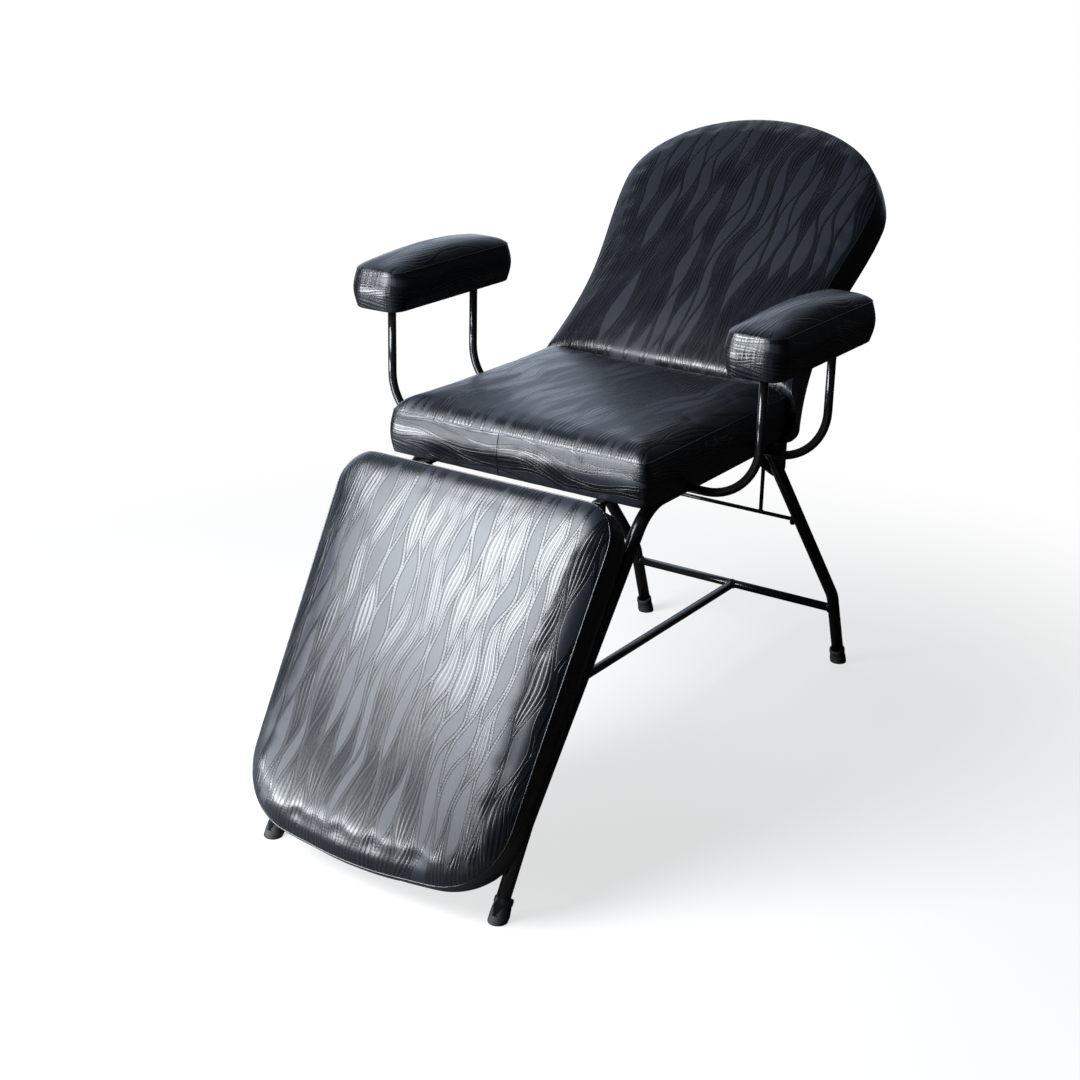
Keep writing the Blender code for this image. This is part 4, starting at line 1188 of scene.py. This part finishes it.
# %% Feet
FOOT_SIDES = 32
SOLE = [(0.0, 0.006), (0.0, 0.0155), (0.0006, 0.0170), (0.0022, 0.0175)]
FOOT_SKIRT = [(0.010, 0.0174), (0.019, 0.0165), (0.0225, 0.0159), (0.0240, 0.0154), (0.0255, 0.0160)]
FOOT_COLLAR = [
    (0.0275, 0.0166), (0.0335, 0.0166), (0.0355, 0.0160),
    (0.0360, 0.0150), (0.0360, 0.0126), (0.030, 0.0124),
]


def foot_shape(foot, lean):
    """Rings from the middle of the sole up to the collar and into the cup."""
    upwards = Vector(lean).normalized()
    across = Vector((1, 0, 0))
    other = upwards.cross(across)
    points = []
    for height, radius in SOLE:
        points.extend(Vector(foot) + Vector((radius * c, radius * s, height)) for c, s in circle(FOOT_SIDES))
    for height, radius in FOOT_SKIRT + FOOT_COLLAR:
        middle = Vector(foot) + upwards * (height / upwards.z)
        points.extend(middle + (across * c + other * s) * radius for c, s in circle(FOOT_SIDES))
    bottom = tuple(range(FOOT_SIDES - 1, -1, -1))
    top = tuple(range(len(points) - FOOT_SIDES, len(points)))
    faces = [bottom] + skin(len(points) // FOOT_SIDES, FOOT_SIDES) + [top]
    return points, faces, [0, len(faces) - 1]


for side, sign in SIDES.items():
    for end, y, lean in (("front", FRONT_FOOT_Y, front_lean), ("rear", REAR_FOOT_Y, rear_lean)):
        shape = Shape().add(*foot_shape((sign * RAIL_X, y, 0), lean))
        make_piece(f"{end}_foot_{side}_cup", shape, "rubber", "frame", IN_SEAT, [f"{end}_foot_{side}"])
print("feet moulded, each with points:", len(shape.points))

# %% [markdown]
# ## Screws and staples
# Button-head screws with a hexagon socket hold the hinges, the arm plates and the strips to the boards.
# Each ring of a screw has a radius, a height and a mark for the socket. A row of wire staples holds each
# hem.

# %% Fixings
SCREW_SIDES = 24
SCREW_RINGS = [
    (0.0048, 0.0, False), (0.0048, 0.0008, False), (0.0041, 0.0019, False),
    (0.0030, 0.0025, False), (0.0021, 0.0026, True), (0.0020, 0.0012, True),
]
PLATE_LOW = 0.0043
HINGE_LEAF_LOW = 0.0053
LEG_HINGE_Y = joint_place["leg_rest_lift"].y - SHIFT.y
SEAT_LEAF_X = 0.1845
LEG_LEAF_X = 0.2015
BACK_ARM_X = 0.2068
STAPLE_SPACING = 0.034
STAPLE_HALF = 0.005
STAPLE_RADIUS = 0.0005
STAPLE_DROP = HEM_DROP + 0.0002


def socket_radius(turn, radius):
    """Distance to the side of a hexagon in this direction."""
    part = turn % (math.pi / 3) - math.pi / 6
    return radius * math.cos(math.pi / 6) / math.cos(part)


def screw(shape, spot, scale=1.0):
    """A screw head that faces down at a spot."""
    points = []
    for radius, height, hexagon in SCREW_RINGS:
        for k in range(SCREW_SIDES):
            turn = FULL_TURN * k / SCREW_SIDES
            reach = (socket_radius(turn, radius) if hexagon else radius) * scale
            offset = Vector((reach * math.cos(turn), -reach * math.sin(turn), -height * scale))
            points.append(Vector(spot) + offset)
    faces = skin(len(SCREW_RINGS), SCREW_SIDES)
    faces.append(tuple(range(len(points) - SCREW_SIDES, len(points))))
    shape.add(points, faces, [len(faces) - 1])


def staples(name, cover, body, matrix, from_y=-1.0):
    """A row of staples along the middle of a hem, where it lies past a place along the board."""
    count = int(cover.girth[-1] / STAPLE_SPACING)
    shape = Shape()
    for k in range(count):
        i = int(np.searchsorted(cover.girth, (k + 0.5) * cover.girth[-1] / count)) % len(cover.edge)
        inwards = cover.inwards[i]
        way = np.array((inwards[1], -inwards[0]))
        middle = cover.edge[i] + inwards * cover.hem * 0.62
        if middle[1] < from_y:
            continue
        z = cover.low - STAPLE_DROP
        ends = [Vector((*(middle + way * reach), z)) for reach in (-STAPLE_HALF, STAPLE_HALF)]
        shape.add(*tube(ends, STAPLE_RADIUS, (0, 0, 1), 6))
    make_piece(name, shape, "steel", body, matrix)


seat_screws = Shape()
leg_screws = Shape()
back_screws = Shape()
for sign in SIDES.values():
    for y in (-0.07, 0.0, 0.07):
        screw(seat_screws, (sign * ARM_X, ARM_MIDDLE + y, ARM_BOTTOM - PLATE_LOW))
    for y in (0.03, 0.06, 0.088):
        screw(seat_screws, (sign * SEAT_LEAF_X, LEG_HINGE_Y + y, SEAT_BOTTOM - HINGE_LEAF_LOW), 0.8)
        screw(leg_screws, (sign * LEG_LEAF_X, -y - 0.004, LEG_LOW - HINGE_LEAF_LOW), 0.8)
    for y in (0.045, 0.085, 0.125):
        screw(back_screws, (sign * BACK_ARM_X, y, BACK_LOW - PLATE_LOW), 0.9)
make_piece("frame_screws", seat_screws, "steel", "frame")
make_piece("leg_rest_screws", leg_screws, "steel", "leg_rest", IN_LEG)
make_piece("back_screws", back_screws, "steel", "backrest", IN_BACK)
staples("seat_staples", seat_cut, "frame", IN_SEAT)
staples("back_staples", back_cut, "backrest", IN_BACK, BACK_START + 0.01)
staples("leg_rest_staples", leg_cut, "leg_rest", IN_LEG)
print("screw points:", len(seat_screws.points) + len(leg_screws.points) + len(back_screws.points))

# %% [markdown]
# ## Studio
# A pale floor runs to a white background. A soft box near the front left gives the leg rest its wide
# highlight, a low one lights the front of the seat and of the arms, and a weak one above lifts the back.
# A glow low in the sky behind is mirrored in the seat. The floor shows its shadow, because it is only
# partly lit up for the camera. What the cushions and tubes mirror of the floor is painted: dark and warm
# as painted shade, and lighter in a painted pool of light at the front left.

# %% Floor, world and lamps
FLOOR_SIZE = 14.0
LAMP_TINT = (0.90, 0.95, 1.0)
SKY_TINT = (0.72, 0.83, 1.0, 1.0)
# Floor colours seen only in reflections: a warm painted shade and a lighter painted pool of light.
WARM_PAINTED_SHADE_FLOOR = (0.06, 0.048, 0.04, 1.0)
COOL_PAINTED_LIGHT_FLOOR = (0.18, 0.19, 0.20, 1.0)
SKY_LEAST = 0.04
SKY_GLOW = 1.75
LEG_MIDDLE = IN_LEG @ Vector((0, -0.3, LEG_TOP))
TO_FRONT_LEFT = Vector((-0.39, -0.61, 0.61)).normalized()


def build_floor():
    mesh = bpy.data.meshes.new("floor")
    mesh.from_pydata([(x, y, 0) for x, y in rectangle(0, 0, FLOOR_SIZE, FLOOR_SIZE)], [], [(0, 1, 2, 3)])
    floor = bpy.data.objects.new("floor", mesh)
    scene.collection.objects.link(floor)
    material = bpy.data.materials.new("white_floor")
    material.use_nodes = True
    tree = material.node_tree
    tree.nodes.clear()
    graph = Signal(tree)
    spot = graph.object_place()
    paint = (spot.noise(1.5, 3.0) + 0.5).mix(grey(0.88), grey(0.92))
    glow = graph.node("ShaderNodeEmission", {"Color": grey(1.0), "Strength": 1.0})
    seen = graph.node("ShaderNodeLightPath", output="Is Camera Ray")
    reach = graph.node("ShaderNodeVectorMath", {0: spot}, "Value", operation="LENGTH")
    # Only for rays other than the camera's: painted shade, dark and warm, over most of the floor, and a lighter
    # painted pool of light at the front left.
    painted_light_pool = (spot.part(0) * -0.75 + spot.part(1) * -0.65).ease(-0.2, 1.0)
    share = seen * (0.68 + reach.ease(0.6, 2.0) * 0.32)
    shaded = seen.mix(painted_light_pool.mix(WARM_PAINTED_SHADE_FLOOR, COOL_PAINTED_LIGHT_FLOOR), paint)
    dull = graph.node("ShaderNodeBsdfDiffuse", {"Color": shaded})
    lit = graph.node("ShaderNodeMixShader", {0: share, 1: dull, 2: glow})
    output = tree.nodes.new("ShaderNodeOutputMaterial")
    graph.feed(output.inputs["Surface"], lit)
    mesh.materials.append(material)


def build_world():
    world = bpy.data.worlds.new("studio")
    world.use_nodes = True
    graph = Signal(world.node_tree)
    way = graph.node("ShaderNodeTexCoord", output="Generated")
    leftwards = (way.part(0) * -1.0).ease(-0.2, 0.9)
    backwards = way.part(1).ease(-0.2, 0.6)
    low_sky = (1.0 - way.part(2)).ease(-0.2, 0.5)
    level = SKY_LEAST + leftwards * backwards * low_sky * SKY_GLOW
    seen = graph.node("ShaderNodeLightPath", output="Is Camera Ray")
    background = world.node_tree.nodes["Background"]
    graph.feed(background.inputs["Color"], seen.mix(SKY_TINT, grey(1.0)))
    graph.feed(background.inputs["Strength"], level + seen * (1.0 - level))
    scene.world = world


def soft_box(name, centre, target, size, power):
    lamp = bpy.data.lights.new(name, "AREA")
    lamp.shape = "RECTANGLE"
    lamp.size, lamp.size_y = size
    lamp.energy = power
    lamp.color = LAMP_TINT
    light = bpy.data.objects.new(name, lamp)
    light.location = centre
    light.rotation_euler = (Vector(target) - Vector(centre)).to_track_quat("-Z", "Y").to_euler()
    scene.collection.objects.link(light)


build_floor()
build_world()
soft_box("front_left_box", LEG_MIDDLE + TO_FRONT_LEFT * 1.8, LEG_MIDDLE, size=(1.2, 1.0), power=94)
soft_box("low_front_box", (-1.65, -2.2, 0.36), (0, -0.27, 0.66), size=(1.5, 0.5), power=68)
soft_box("top_front_box", (-1.1, -1.4, 2.4), (0, -0.45, 0.7), size=(1.0, 0.8), power=22)
scene.view_settings.view_transform = "Standard"

# %% [markdown]
# ## Camera
# The camera stands where the photograph was taken from: to the front left of the sitter, a little above
# the seat, with a slight roll.

# %% Camera
CAMERA_YAW = math.radians(33.5527)
CAMERA_PITCH = math.radians(20.3632)
CAMERA_ROLL = math.radians(1.1065)
CAMERA_DISTANCE = 3.4144
CAMERA_TARGET = Vector((0, -0.19448, 0.4835))
SENSOR_WIDTH = 36
FOCAL_LENGTH = 62.83
LENS_SHIFT = (0.00419, -0.00263)

backwards = Vector((
    math.sin(CAMERA_YAW) * math.cos(CAMERA_PITCH),
    -math.cos(CAMERA_YAW) * math.cos(CAMERA_PITCH),
    math.sin(CAMERA_PITCH),
))
level_right = Vector((math.cos(CAMERA_YAW), math.sin(CAMERA_YAW), 0))
level_up = backwards.cross(level_right)
right = level_right * math.cos(CAMERA_ROLL) + level_up * math.sin(CAMERA_ROLL)
up = level_up * math.cos(CAMERA_ROLL) - level_right * math.sin(CAMERA_ROLL)
lens = bpy.data.cameras.new("camera")
lens.sensor_width = SENSOR_WIDTH
lens.lens = FOCAL_LENGTH
lens.shift_x, lens.shift_y = LENS_SHIFT
camera = bpy.data.objects.new("camera", lens)
turned = Matrix((right, up, backwards)).transposed().to_4x4()
camera.matrix_world = Matrix.Translation(CAMERA_TARGET + backwards * CAMERA_DISTANCE) @ turned
scene.collection.objects.link(camera)
scene.camera = camera
print("camera at", [round(value, 3) for value in camera.matrix_world.translation])

# %% [markdown]
# ## Finish
# The looks should stay within a few millimetres of the CAD part. At the end the scene is brought up to date.

# %% Finish
bpy.context.view_layer.update()
